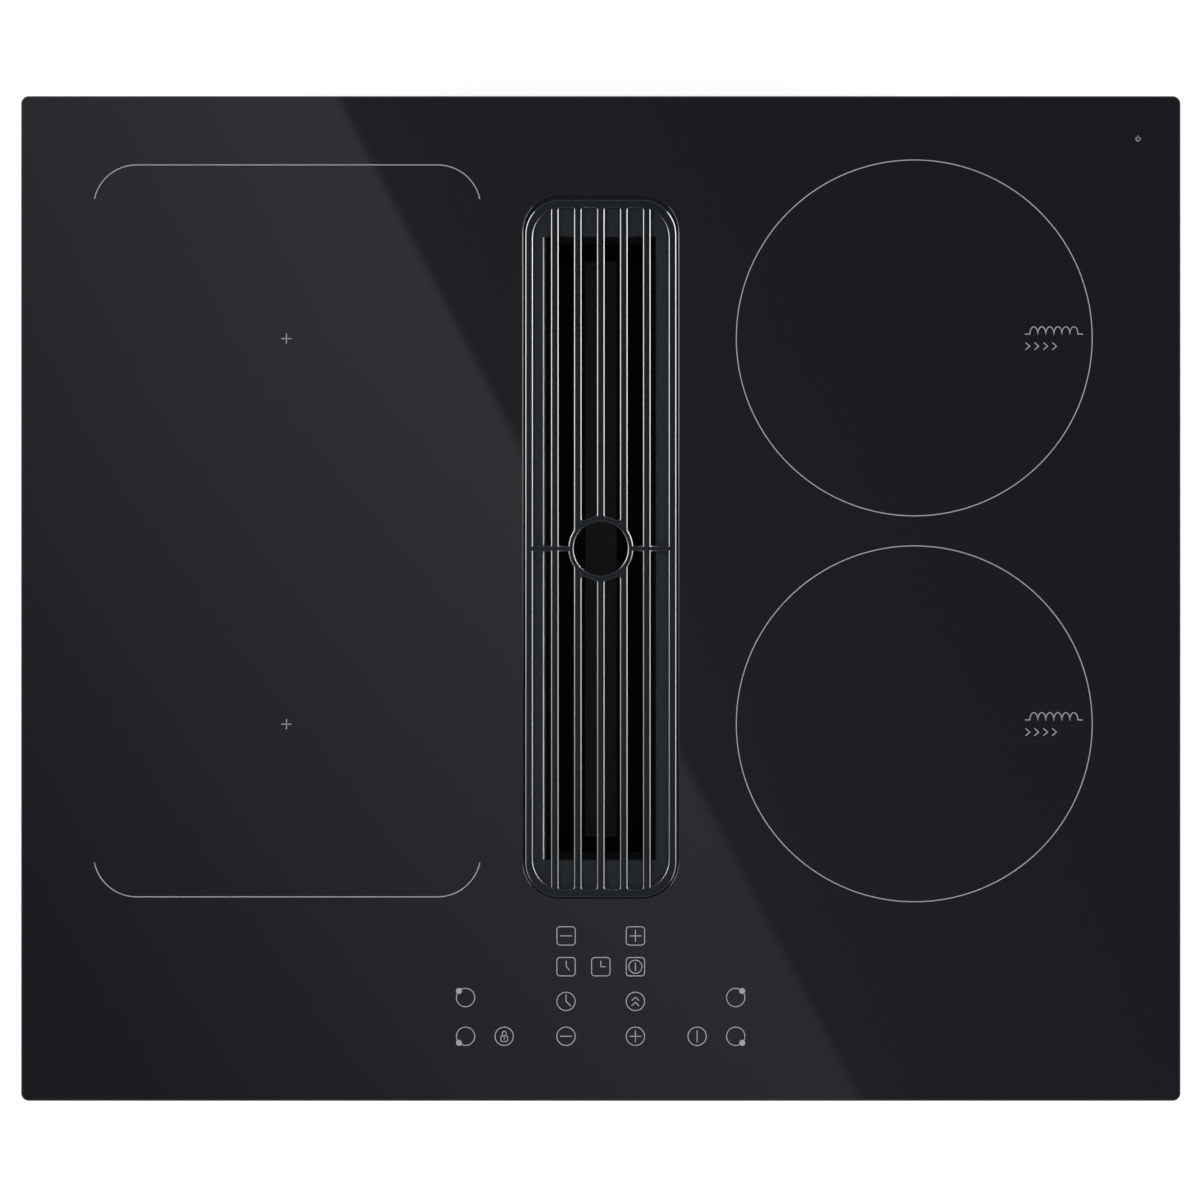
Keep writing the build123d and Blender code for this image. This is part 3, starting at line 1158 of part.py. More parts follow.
with BuildPart() as impeller:
    # dome over the motor, with its hub
    with BuildSketch(Plane.XY.offset(impeller_z)):
        with Locations((BLOWER_X, BLOWER_Y)):
            Circle(dome_r + DOME_T)
    extrude(amount=dome_top_z + DOME_T - impeller_z)
    with BuildSketch(Plane.XY.offset(impeller_z)):
        with Locations((BLOWER_X, BLOWER_Y)):
            Circle(IMPELLER_R)
    extrude(amount=IMPELLER_PLATE_T)
    with BuildSketch(Plane.XY.offset(impeller_z)):
        with Locations((BLOWER_X, BLOWER_Y)):
            Circle(dome_r)
    extrude(amount=dome_top_z - impeller_z, mode=Mode.SUBTRACT)
    with BuildSketch(Plane.XY.offset(dome_top_z)):
        with Locations((BLOWER_X, BLOWER_Y)):
            Circle(HUB_R)
    extrude(amount=HUB_H)
    with BuildSketch(Plane.XY.offset(dome_top_z)):
        with Locations((BLOWER_X, BLOWER_Y)):
            Circle(SHAFT_R)
    extrude(amount=HUB_H, mode=Mode.SUBTRACT)
    # blades between the back plate and the top ring
    with BuildSketch(Plane.XY.offset(impeller_z)):
        with Locations((BLOWER_X, BLOWER_Y)):
            with PolarLocations((IMPELLER_R + IMPELLER_INNER_R) / 2, IMPELLER_BLADES):
                Rectangle(
                    (IMPELLER_R - IMPELLER_INNER_R), IMPELLER_BLADE_T, rotation=IMPELLER_BLADE_ANGLE
                )
    extrude(amount=impeller_top_z - impeller_z)
    with BuildSketch(Plane.XY.offset(impeller_top_z - IMPELLER_RING_T)):
        with Locations((BLOWER_X, BLOWER_Y)):
            Circle(IMPELLER_R)
            Circle(IMPELLER_R - IMPELLER_RING_W, mode=Mode.SUBTRACT)
    extrude(amount=IMPELLER_RING_T)
write(impeller, "impeller")

# ================================================================ outlet collar and non-return flap
flap_axis_y = HOUSING_REAR_Y + FLAP_BACK
flap_axis_z = DUCT_Z + DUCT_H / 2 - DUCT_T - FLAP_KNUCKLE_R - FLAP_GAP
duct_plane = Plane.XZ.offset(-COLLAR_START_Y - DUCT_GAP)
flange_plane = Plane.XZ.offset(-HOUSING_REAR_Y)
collar_l = HOUSING_REAR_Y + DUCT_REACH - COLLAR_START_Y - DUCT_GAP
with BuildPart() as outlet_collar:
    with BuildSketch(duct_plane):
        with Locations((DUCT_X, DUCT_Z)):
            RectangleRounded(DUCT_W, DUCT_H, DUCT_CORNER)
    extrude(amount=-collar_l)
    with BuildSketch(flange_plane):
        with Locations((DUCT_X, DUCT_Z)):
            RectangleRounded(DUCT_W + 2 * DUCT_FLANGE, DUCT_H + 2 * DUCT_FLANGE, DUCT_CORNER)
    extrude(amount=-DUCT_FLANGE_T)
    with BuildSketch(duct_plane):
        with Locations((DUCT_X, DUCT_Z)):
            RectangleRounded(DUCT_W - 2 * DUCT_T, DUCT_H - 2 * DUCT_T, DUCT_CORNER - DUCT_T)
    extrude(amount=-collar_l, mode=Mode.SUBTRACT)
    with BuildSketch(Plane.YZ.offset(DUCT_X - DUCT_W / 2)):
        with Locations((flap_axis_y, flap_axis_z)):
            Circle(FLAP_PIN_R + RUNNING_GAP)
    extrude(amount=DUCT_W, mode=Mode.SUBTRACT)
write(outlet_collar, "outlet_collar")

flap_w = DUCT_W - 2 * DUCT_T - 2 * FLAP_GAP
with BuildPart() as damper_flap:
    with BuildSketch(Plane.YZ.offset(DUCT_X - flap_w / 2)):
        with Locations((flap_axis_y, flap_axis_z)):
            Circle(FLAP_KNUCKLE_R)
        with Locations((flap_axis_y, (flap_axis_z + DUCT_Z - DUCT_H / 2 + DUCT_T + FLAP_GAP) / 2)):
            Rectangle(FLAP_T, flap_axis_z - DUCT_Z + DUCT_H / 2 - DUCT_T - FLAP_GAP)
    extrude(amount=flap_w)
    with BuildSketch(Plane.YZ.offset(DUCT_X - flap_w / 2 - FLAP_GAP - FLAP_PIN_BITE)):
        with Locations((flap_axis_y, flap_axis_z)):
            Circle(FLAP_PIN_R)
    extrude(amount=flap_w + 2 * (FLAP_GAP + FLAP_PIN_BITE))
write(damper_flap, "damper_flap")

# ================================================================ mains terminal box
terminal_z = CASE_FLOOR_Z - TERMINAL_H
terminal_front_y = TERMINAL_REAR_Y - TERMINAL_L
terminal_y = TERMINAL_REAR_Y - TERMINAL_L / 2
terminal_in_w = TERMINAL_W - 2 * TERMINAL_T
cable_z = CASE_FLOOR_Z - CABLE_Z_DROP
cover_axis_y = terminal_front_y + COVER_KNUCKLE_R
cover_axis_z = CASE_FLOOR_Z - TERMINAL_T - COVER_AXIS_DROP
with BuildPart() as terminal_box:
    with BuildSketch(Plane.XY.offset(terminal_z)):
        with Locations((TERMINAL_X, terminal_y)):
            Rectangle(TERMINAL_W, TERMINAL_L)
    extrude(amount=TERMINAL_H)
    with BuildSketch(Plane.XZ.offset(-terminal_front_y)):
        with Locations((TERMINAL_X, terminal_z + TERMINAL_H / 2)):
            Rectangle(terminal_in_w, TERMINAL_H - 2 * TERMINAL_T)
    extrude(amount=-(TERMINAL_L - TERMINAL_T), mode=Mode.SUBTRACT)
    with BuildSketch(Plane.XZ.offset(-TERMINAL_REAR_Y)):
        with Locations((TERMINAL_X, cable_z)):
            Circle(CABLE_BOSS_R)
    extrude(amount=-CABLE_BOSS_L)
    with BuildSketch(Plane.XZ.offset(-(TERMINAL_REAR_Y + CABLE_BOSS_L))):
        with Locations((TERMINAL_X, cable_z)):
            Circle(CABLE_R)
    extrude(amount=CABLE_BOSS_L + TERMINAL_T, mode=Mode.SUBTRACT)
    with BuildSketch(Plane.YZ.offset(TERMINAL_X - TERMINAL_W / 2)):
        with Locations((cover_axis_y, cover_axis_z)):
            Circle(COVER_PIN_R + RUNNING_GAP)
    extrude(amount=TERMINAL_W, mode=Mode.SUBTRACT)
write(terminal_box, "terminal_box")

block_y = TERMINAL_REAR_Y - TERMINAL_T - BLOCK_REAR_GAP - BLOCK_L / 2
with BuildPart() as terminal_block:
    with BuildSketch(Plane.XY.offset(terminal_z + TERMINAL_T)):
        with Locations((TERMINAL_X, block_y)):
            Rectangle(BLOCK_W, BLOCK_L)
    extrude(amount=BLOCK_H)
    with BuildSketch(Plane.XY.offset(terminal_z + TERMINAL_T + BLOCK_H)):
        with Locations((TERMINAL_X, block_y)):
            with GridLocations(BLOCK_W / BLOCK_WAYS, 0, BLOCK_WAYS, 1):
                Rectangle(BLOCK_W / BLOCK_WAYS - 2 * BLOCK_RIB, BLOCK_L - 2 * BLOCK_RIB)
    extrude(amount=-BLOCK_POCKET, mode=Mode.SUBTRACT)
write(terminal_block, "terminal_block")

cover_w = terminal_in_w - 2 * COVER_GAP
cover_low_z = terminal_z + TERMINAL_T + COVER_GAP
with BuildPart() as terminal_cover:
    with BuildSketch(Plane.YZ.offset(TERMINAL_X - cover_w / 2)):
        with Locations((cover_axis_y, cover_axis_z)):
            Circle(COVER_KNUCKLE_R)
        with Locations((cover_axis_y, (cover_axis_z + cover_low_z) / 2)):
            Rectangle(COVER_T, cover_axis_z - cover_low_z)
    extrude(amount=cover_w)
    with BuildSketch(Plane.YZ.offset(TERMINAL_X - cover_w / 2 - COVER_GAP - COVER_PIN_BITE)):
        with Locations((cover_axis_y, cover_axis_z)):
            Circle(COVER_PIN_R)
    extrude(amount=cover_w + 2 * (COVER_GAP + COVER_PIN_BITE))
write(terminal_cover, "terminal_cover")

# ================================================================ worktop clamps
with BuildPart() as clamp_pivots:
    with BuildSketch(Plane.XY.offset(CASE_INNER_Z)):
        with Locations(*CLAMPS.values()):
            Circle(CLAMP_PIVOT_R)
    extrude(amount=CLAMP_Z - CASE_INNER_Z - RUNNING_GAP)
    with BuildSketch(Plane.XY.offset(CLAMP_Z - RUNNING_GAP)):
        with Locations(*CLAMPS.values()):
            Circle(CLAMP_PIVOT_HEAD_R)
    extrude(amount=-CLAMP_PIVOT_HEAD_H)
    with BuildSketch(Plane.XY.offset(CASE_INNER_Z)):
        with Locations(*CLAMPS.values()):
            Circle(CLAMP_PIVOT_HEAD_R)
    extrude(amount=CLAMP_PIVOT_HEAD_H)
write(clamp_pivots, "clamp_pivots")

for corner, (pivot_x, pivot_y) in CLAMPS.items():
    tip_y = pivot_y - CLAMP_REACH
    with BuildPart() as clamp:
        with BuildSketch(Plane.XY.offset(CLAMP_Z)):
            with Locations((pivot_x, (pivot_y + tip_y) / 2)):
                SlotCenterToCenter(CLAMP_REACH, CLAMP_W, rotation=90)
            with Locations((pivot_x, pivot_y)):
                Circle(CLAMP_PIVOT_R + RUNNING_GAP, mode=Mode.SUBTRACT)
        extrude(amount=CLAMP_T)
        with BuildSketch(Plane.XY.offset(CLAMP_TOP_Z + JACK_TIP)):
            with Locations((pivot_x, tip_y)):
                Circle(JACK_R)
        extrude(amount=-JACK_L)
        with BuildSketch(Plane.XY.offset(CLAMP_TOP_Z + JACK_TIP - JACK_L)):
            with Locations((pivot_x, tip_y)):
                Circle(JACK_KNOB_R)
        extrude(amount=-JACK_KNOB_H)
    write(clamp, f"clamp_{corner}")
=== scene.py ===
"""Look of a downdraft induction cooktop, built round its packed model.

Every length is in millimetres unless it says otherwise, in the model's own frame: +Z up, +X right,
the user at -Y, z = 0 at the worktop's upper face and x = y = 0 at the panel's middle.
"""

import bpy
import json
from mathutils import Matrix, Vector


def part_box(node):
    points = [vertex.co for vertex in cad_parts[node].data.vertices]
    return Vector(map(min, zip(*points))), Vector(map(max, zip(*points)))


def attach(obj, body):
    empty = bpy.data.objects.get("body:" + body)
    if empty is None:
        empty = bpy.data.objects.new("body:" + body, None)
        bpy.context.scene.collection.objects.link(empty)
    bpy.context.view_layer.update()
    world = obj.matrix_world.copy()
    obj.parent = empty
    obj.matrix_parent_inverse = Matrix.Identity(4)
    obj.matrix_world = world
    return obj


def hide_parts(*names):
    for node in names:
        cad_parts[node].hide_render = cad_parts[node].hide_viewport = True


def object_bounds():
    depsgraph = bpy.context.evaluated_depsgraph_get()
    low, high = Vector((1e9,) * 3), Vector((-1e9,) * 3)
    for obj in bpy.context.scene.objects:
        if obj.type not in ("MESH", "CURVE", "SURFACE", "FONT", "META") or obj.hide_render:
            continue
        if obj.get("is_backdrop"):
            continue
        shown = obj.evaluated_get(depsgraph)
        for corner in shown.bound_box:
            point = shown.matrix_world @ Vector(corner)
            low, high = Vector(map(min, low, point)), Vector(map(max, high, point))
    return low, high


bl_info = {
    "name": "Downdraft Cooktop",
    "version": (1, 0, 0),
    "blender": (4, 5, 0),
    "location": "View3D > Sidebar > Cooktop",
    "description": "Dresses the packed cooktop with its finishes, printed signs and small hardware",
    "category": "Object",
}

import json
from math import cos, hypot, pi, radians, sin

import bmesh
import bpy
from bpy.props import FloatProperty, FloatVectorProperty, IntProperty, PointerProperty
from mathutils import Vector

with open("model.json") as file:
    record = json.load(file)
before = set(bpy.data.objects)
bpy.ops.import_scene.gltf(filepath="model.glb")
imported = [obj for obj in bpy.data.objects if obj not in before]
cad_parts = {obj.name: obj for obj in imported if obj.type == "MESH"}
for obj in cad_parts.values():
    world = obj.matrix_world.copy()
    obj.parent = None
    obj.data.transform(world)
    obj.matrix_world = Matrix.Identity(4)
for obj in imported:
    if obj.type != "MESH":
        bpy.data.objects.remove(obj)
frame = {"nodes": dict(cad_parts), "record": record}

MM = 0.001
SIDES = (-1, 1)
UP, DOWN = Vector((0, 0, 1)), Vector((0, 0, -1))
FRONT, REAR = Vector((0, -1, 0)), Vector((0, 1, 0))
SLOT_COLOURS = {
    material["slot"]: tuple(material["base_color"][:3]) for material in frame["record"]["materials"]
}
NODE_SLOTS = {part["node"]: part["material_slot"] for part in frame["record"]["subparts"]}


def node_box(node):
    """The lowest and highest corner of a model node, in millimetres."""
    low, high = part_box(node)
    return Vector(low) / MM, Vector(high) / MM


TOP_Z = node_box("glass_top")[1].z


# ==================================================================== settings
def amount(name, description, default, unit="NONE"):
    """A number that is never negative."""
    return FloatProperty(name=name, description=description, default=default, min=0.0, unit=unit)


def length(name, description, default):
    """A length in metres, as Blender shows it."""
    return amount(name, description, default, "LENGTH")


def colour(name, description, default):
    """A linear colour."""
    return FloatVectorProperty(
        name=name, description=description, default=default, size=3, subtype="COLOR", min=0.0, max=1.0
    )


class StageSettings(bpy.types.PropertyGroup):
    """Camera, lamps and cards"""

    camera_height: length("Camera height", "How far the camera hangs above the glass", 5.0)
    view_width: length("View width", "Width of the picture at the glass", 0.621)
    lamp_power: amount("Lamp power", "Power of each side lamp", 10.0, "POWER")
    ambient: amount("Ambient light", "Strength of the light from all round", 0.25)
    card_glow: amount("Card glow", "Strength of the pale card that the glass mirrors", 0.58)
    edge_glow: amount("Edge glow", "Strength of the low cards that light up the slot's edges", 30.0)


class PrintSettings(bpy.types.PropertyGroup):
    """Signs and zone lines printed on the glass"""

    line_width: length("Line width", "Width of a zone's line", 0.0005)
    sign_line_width: length("Sign line width", "Width of the lines in a touch sign", 0.00047)
    ink: colour("Ink", "Colour of the printed lines", (0.315, 0.315, 0.325))


class FinishSettings(bpy.types.PropertyGroup):
    """Main colours, each under its finish's name"""

    black_glass: colour("Glass", "Colour of the panel", (0.0108, 0.0102, 0.0134))
    grille_coat: colour("Grille", "Colour of the grille's enamel", (0.0048, 0.0078, 0.0104))
    # Near black: partly the filter's own black coat, partly painted shade, made darker still for the dim
    # throat under the grille.
    filter_mesh: colour("Filter", "Colour of the grease filter's black coat", (0.004, 0.004, 0.0055))
    # Lighter than the grille's enamel that it matches: painted light, making up for the shade that falls
    # on the moulding in the recess under the grille.
    trim_plastic: colour("Slot trim", "Colour of the moulding under the grille", (0.0203, 0.0283, 0.0337))
    galvanised: colour("Casing steel", "Colour of the galvanised sheet", SLOT_COLOURS["galvanised"])
    housing_plastic: colour("Housing", "Colour of its moulding", SLOT_COLOURS["housing_plastic"])


class HardwareSettings(bpy.types.PropertyGroup):
    """Small hardware"""

    screw_steps: IntProperty(
        name="Screw steps", description="Points round a screw's head", default=24, min=12, max=96
    )
    thread_pitch: length("Thread pitch", "Pitch of the clamps' jack screws", 0.001)
    mesh_pitch: length("Filter mesh pitch", "Length of one diamond of the filter's mesh", 0.006)


# ==================================================================== shader effects
def wire(tree, node, inputs):
    """Gives each of a node's inputs a value, or a link from a socket."""
    for socket, value in inputs.items():
        if isinstance(value, bpy.types.NodeSocket):
            tree.links.new(value, node.inputs[socket])
        else:
            node.inputs[socket].default_value = value


def add(tree, kind, inputs={}, **settings):
    """Adds a node with its settings and inputs, in the next place of a grid."""
    made = tree.nodes.new(kind)
    row, column = divmod(len(tree.nodes), 8)
    made.location = (220 * column, -300 * row)
    for key, value in settings.items():
        setattr(made, key, value)
    wire(tree, made, inputs)
    return made


def maths(tree, operation, first, second):
    """A Math node of two values, either of which is a number or a socket."""
    return add(tree, "ShaderNodeMath", {0: first, 1: second}, operation=operation).outputs[0]


def mix(tree, factor, first, second):
    """A level between two others."""
    inputs = {"Factor": factor, "A": first, "B": second}
    return add(tree, "ShaderNodeMix", inputs, data_type="FLOAT").outputs[0]


def span(tree, value, ends, levels, kind="LINEAR"):
    """A level that changes from one to another between two ends."""
    inputs = dict(zip(("From Min", "From Max", "To Min", "To Max"), (*ends, *levels)), Value=value)
    return add(tree, "ShaderNodeMapRange", inputs, interpolation_type=kind).outputs[0]


def start_effect(name, inputs):
    """An empty effect group with a colour, a roughness and named numbers going in."""
    tree = bpy.data.node_groups.new(name, "ShaderNodeTree")
    face = tree.interface
    face.new_socket(name="Color", in_out="INPUT", socket_type="NodeSocketColor")
    for label, default in {"Roughness": 0.0, **inputs}.items():
        socket = face.new_socket(name=label, in_out="INPUT", socket_type="NodeSocketFloat")
        socket.default_value = default
    for label, kind in (("Color", "Color"), ("Roughness", "Float"), ("Height", "Float")):
        face.new_socket(name=label, in_out="OUTPUT", socket_type=f"NodeSocket{kind}")
    given = add(tree, "NodeGroupInput").outputs
    return tree, given, add(tree, "ShaderNodeTexCoord").outputs["Object"]


def swing(tree, mask, spread):
    """A change up and down by a mask round one half."""
    return maths(tree, "MULTIPLY", maths(tree, "SUBTRACT", mask, 0.5), spread)


def end_effect(tree, given, tint, gloss, height):
    """Swings colour and roughness by (mask, spread) round their own values, and ends the group."""
    inputs = {0: given["Color"], "Scale": maths(tree, "ADD", swing(tree, *tint), 1.0)}
    scaled = add(tree, "ShaderNodeVectorMath", inputs, operation="SCALE").outputs["Vector"]
    roughness = maths(tree, "ADD", given["Roughness"], swing(tree, *gloss))
    add(tree, "NodeGroupOutput", {"Color": scaled, "Roughness": roughness, "Height": height})
    return tree


def per_size(tree, size):
    """Texture scale for a feature's size in millimetres."""
    return maths(tree, "DIVIDE", 1000.0, size)


def noise(tree, place, scale, detail=3.0):
    """Soft noise whose scale is a number or a socket."""
    inputs = {"Vector": place, "Scale": scale, "Detail": detail}
    return add(tree, "ShaderNodeTexNoise", inputs).outputs["Fac"]


def voronoi(tree, place, scale):
    """The outputs of a cell texture whose scale is a number or a socket."""
    return add(tree, "ShaderNodeTexVoronoi", {"Vector": place, "Scale": scale}).outputs


def moulded_grain():
    """Spark-eroded grain of a plastic moulding, with slow tint changes."""
    tree, given, place = start_effect(
        "Moulded Grain", {"Grain Size": 0.5, "Tint Spread": 0.15, "Gloss Spread": 0.12}
    )
    fine = noise(tree, place, per_size(tree, given["Grain Size"]))
    broad = noise(tree, place, 14.0)
    return end_effect(tree, given, (broad, given["Tint Spread"]), (fine, given["Gloss Spread"]), fine)


def casting_skin():
    """Enamel over a casting: faint orange peel with a few tiny pits."""
    tree, given, place = start_effect(
        "Casting Skin", {"Peel Size": 1.6, "Tint Spread": 0.12, "Gloss Spread": 0.1, "Pits": 0.3}
    )
    peel = noise(tree, place, per_size(tree, given["Peel Size"]), 2.0)
    narrow = maths(tree, "LESS_THAN", voronoi(tree, place, 900.0)["Distance"], 0.16)
    height = maths(tree, "SUBTRACT", peel, maths(tree, "MULTIPLY", narrow, given["Pits"]))
    broad = noise(tree, place, 30.0)
    return end_effect(tree, given, (broad, given["Tint Spread"]), (broad, given["Gloss Spread"]), height)


def spangled_zinc():
    """Crystals of a zinc coat, each a little lighter or darker and glossier or duller."""
    tree, given, place = start_effect(
        "Spangled Zinc", {"Spangle Size": 7.0, "Contrast": 0.2, "Gloss Spread": 0.12}
    )
    wobble = add(tree, "ShaderNodeTexNoise", {"Vector": place, "Scale": 260.0}).outputs["Color"]
    inputs = {0: wobble, 1: (0.003, 0.003, 0.003), 2: place}
    bent = add(tree, "ShaderNodeVectorMath", inputs, operation="MULTIPLY_ADD").outputs[0]
    crystals = voronoi(tree, bent, per_size(tree, given["Spangle Size"]))
    split = add(tree, "ShaderNodeSeparateColor", {0: crystals["Color"]}).outputs
    tint, gloss = (split["Red"], given["Contrast"]), (split["Green"], given["Gloss Spread"])
    return end_effect(tree, given, tint, gloss, noise(tree, place, 1500.0))


def drawn_lines():
    """Fine lines that rolling, drawing or laminating leaves along one direction."""
    tree, given, place = start_effect(
        "Drawn Lines",
        {"Line Size": 0.4, "Stretch X": 1.0, "Stretch Y": 0.03, "Stretch Z": 1.0, "Contrast": 0.25},
    )
    stretch = add(tree, "ShaderNodeCombineXYZ", {axis: given[f"Stretch {axis}"] for axis in "XYZ"})
    along = add(tree, "ShaderNodeVectorMath", {0: place, 1: stretch.outputs[0]}, operation="MULTIPLY")
    lines = noise(tree, along.outputs[0], per_size(tree, given["Line Size"]), 4.0)
    return end_effect(tree, given, (lines, given["Contrast"]), (lines, given["Contrast"]), lines)


def foam_cells():
    """Closed cells of a foam seal."""
    tree, given, place = start_effect("Foam Cells", {"Cell Size": 0.5, "Tint Spread": 0.5})
    cells = voronoi(tree, place, per_size(tree, given["Cell Size"]))
    dome = maths(tree, "SUBTRACT", 1.0, cells["Distance"])
    return end_effect(tree, given, (dome, given["Tint Spread"]), (dome, 0.1), dome)


def fine_flecks():
    """Barely lighter flecks spread through glass ceramic, ferrite or solder mask."""
    tree, given, place = start_effect(
        "Fine Flecks", {"Fleck Size": 0.6, "Tint Spread": 0.2, "Gloss Spread": 0.0}
    )
    flecks = noise(tree, place, per_size(tree, given["Fleck Size"]), 1.0)
    return end_effect(tree, given, (flecks, given["Tint Spread"]), (flecks, given["Gloss Spread"]), flecks)


EFFECTS = {
    "grain": moulded_grain,
    "skin": casting_skin,
    "zinc": spangled_zinc,
    "lines": drawn_lines,
    "foam": foam_cells,
    "flecks": fine_flecks,
}
effect_trees = {}
METAL = {"Metallic": 1.0}
# Each finish: its effect, roughness, bump depth in millimetres, the effect's own values, and the
# shader's own sockets.
FINISHES = {
    "black_glass": ("flecks", 0.035, 0.0, {"Fleck Size": 0.7, "Tint Spread": 0.25}),
    "seal_foam": ("foam", 0.9, 0.05, {"Cell Size": 0.5}),
    "grille_coat": ("skin", 0.28, 0.0012, {"Peel Size": 1.2}),
    "trim_plastic": ("grain", 0.45, 0.006, {"Grain Size": 0.6}),
    "silicone": ("grain", 0.6, 0.004, {"Grain Size": 0.4}),
    "filter_steel": ("lines", 0.42, 0.003, {"Line Size": 0.5}, {"Specular IOR Level": 0.35}),
    "filter_mesh": ("skin", 0.45, 0.004, {"Peel Size": 0.8}, {"Specular IOR Level": 0.12}),
    "black_plastic": ("grain", 0.5, 0.01, {"Grain Size": 0.5}),
    "galvanised": ("zinc", 0.38, 0.002, {"Spangle Size": 4.5}, METAL),
    "housing_plastic": ("grain", 0.52, 0.015, {"Grain Size": 0.7, "Tint Spread": 0.2}),
    "tank_plastic": ("grain", 0.3, 0.003, {"Grain Size": 0.9}),
    "impeller_plastic": ("grain", 0.48, 0.006, {"Grain Size": 0.4}),
    "motor_metal": ("skin", 0.4, 0.01, {"Peel Size": 0.8}, METAL),
    "copper": ("lines", 0.3, 0.05, {"Line Size": 1.2, "Stretch Y": 1.0}, METAL),
    "laminated_steel": (
        "lines", 0.45, 0.03,
        {"Line Size": 0.5, "Stretch X": 0.02, "Stretch Y": 0.02, "Contrast": 0.5}, METAL,
    ),
    "bright_steel": ("lines", 0.18, 0.001, {"Line Size": 0.2}, METAL),
    "ferrite": ("flecks", 0.6, 0.01, {"Fleck Size": 0.4, "Tint Spread": 0.4}),
    "mica": ("flecks", 0.4, 0.01, {"Fleck Size": 3.0, "Tint Spread": 0.5}),
    "coil_plastic": ("grain", 0.5, 0.01, {"Grain Size": 0.6}),
    "plate_aluminium": ("lines", 0.3, 0.002, {"Line Size": 0.6}, METAL),
    "zinc_steel": ("zinc", 0.32, 0.002, {"Spangle Size": 2.0}, METAL),
    "board_green": ("flecks", 0.3, 0.004, {"Fleck Size": 1.0}, {"Coat Weight": 0.4}),
    "capacitor_sleeve": ("grain", 0.22, 0.002, {"Grain Size": 1.5}),
    "choke_core": ("skin", 0.35, 0.006, {"Peel Size": 0.7}),
    "fan_plastic": ("grain", 0.4, 0.006, {"Grain Size": 0.4}),
    "terminal_white": ("grain", 0.35, 0.004, {"Grain Size": 0.8}),
}
finish_materials = {}


def build_material(name, base, effect, roughness, depth=0.0, values={}, sockets={}):
    """One shader fed by one effect group."""
    material = bpy.data.materials.new(name)
    material.use_nodes = True
    tree = material.node_tree
    if effect not in effect_trees:
        effect_trees[effect] = EFFECTS[effect]()
    inputs = {"Color": (*base, 1.0), "Roughness": roughness, **values}
    made = add(tree, "ShaderNodeGroup", inputs, node_tree=effect_trees[effect]).outputs
    inputs = {**sockets, "Base Color": made["Color"], "Roughness": made["Roughness"]}
    if depth:
        bump = {"Strength": 1.0, "Distance": depth * MM, "Height": made["Height"]}
        inputs["Normal"] = add(tree, "ShaderNodeBump", bump).outputs["Normal"]
    wire(tree, tree.nodes["Principled BSDF"], inputs)
    return material


def finish(slot):
    """The material for one of the record's slots, made once, in the chosen colour or the record's own."""
    if slot not in finish_materials:
        base = getattr(bpy.context.scene.cooktop_finishes, slot, SLOT_COLOURS[slot])
        finish_materials[slot] = build_material(slot, base, *FINISHES[slot])
    return finish_materials[slot]


def dress(*nodes):
    """Gives model nodes the finish that the record names for them."""
    for name in nodes:
        item = frame["nodes"][name]
        if not item.material_slots:
            item.data.materials.append(None)
        for slot in item.material_slots:
            slot.material = finish(NODE_SLOTS[name])


# ==================================================================== mesh helpers
def skin(bm, loops, ring=False):
    """Joins closed loops of points into one closed solid, with flat ends unless it is a ring."""
    rows = [[bm.verts.new(Vector(point) * MM) for point in loop] for loop in loops]
    pairs = list(zip(rows, rows[1:])) + ([(rows[-1], rows[0])] if ring else [])
    for low, high in pairs:
        for i in range(len(low)):
            following = (i + 1) % len(low)
            bm.faces.new((low[i], low[following], high[following], high[i]))
    if not ring:
        bm.faces.new(rows[0][::-1])
        bm.faces.new(rows[-1])


def lathe(bm, centre, axis, profile, steps=24, lobes=6, ring=False):
    """Turns (radius, height) points round an axis. A third number is the depth of the lobes there."""
    axis = Vector(axis).normalized()
    across = axis.orthogonal().normalized()
    other = axis.cross(across)
    loops = []
    for radius, height, *lobe in profile:
        depth = lobe[0] if lobe else 0.0
        loop = []
        for i in range(steps):
            turn = 2 * pi * i / steps
            reach = radius + depth * cos(lobes * turn)
            out = across * cos(turn) + other * sin(turn)
            loop.append(Vector(centre) + axis * height + out * reach)
        loops.append(loop)
    skin(bm, loops, ring)


def sweep(bm, path, section, up=UP, closed=False):
    """Runs a section of (sideways, upward) points along a path, with mitred corners."""
    path = [Vector(point) for point in path]
    up = Vector(up).normalized()
    loops = []
    for i, point in enumerate(path):
        steps = []
        if i or closed:
            steps.append((point - path[i - 1]).normalized())
        if i < len(path) - 1 or closed:
            steps.append((path[(i + 1) % len(path)] - point).normalized())
        tangent = sum(steps, Vector()).normalized()
        side = tangent.cross(up).normalized()
        mitre = 1 / max(0.35, tangent.dot(steps[0]))
        loops.append([point + side * (out * mitre) + up * rise for out, rise in section])
    skin(bm, loops, closed)


def block(bm, low, high, bevel=0.4):
    """A box with all its edges bevelled."""
    low, high = Vector(low), Vector(high)
    loops = []
    for z, inset in ((low.z, bevel), (low.z + bevel, 0), (high.z - bevel, 0), (high.z, bevel)):
        x0, y0, x1, y1 = low.x + inset, low.y + inset, high.x - inset, high.y - inset
        corners = [
            (x0 + bevel, y0), (x1 - bevel, y0), (x1, y0 + bevel), (x1, y1 - bevel),
            (x1 - bevel, y1), (x0 + bevel, y1), (x0, y1 - bevel), (x0, y0 + bevel),
        ]
        loops.append([(x, y, z) for x, y in corners])
    skin(bm, loops)


def arc(centre, radius, start, stop, steps=12):
    """Points on an arc, in degrees."""
    turns = [radians(start + (stop - start) * i / steps) for i in range(steps + 1)]
    return [(centre[0] + radius * cos(t), centre[1] + radius * sin(t)) for t in turns]


def circle(centre, radius, steps=40):
    """Points round a circle, the last not repeating the first."""
    return arc(centre, radius, 0, 360, steps)[:-1]


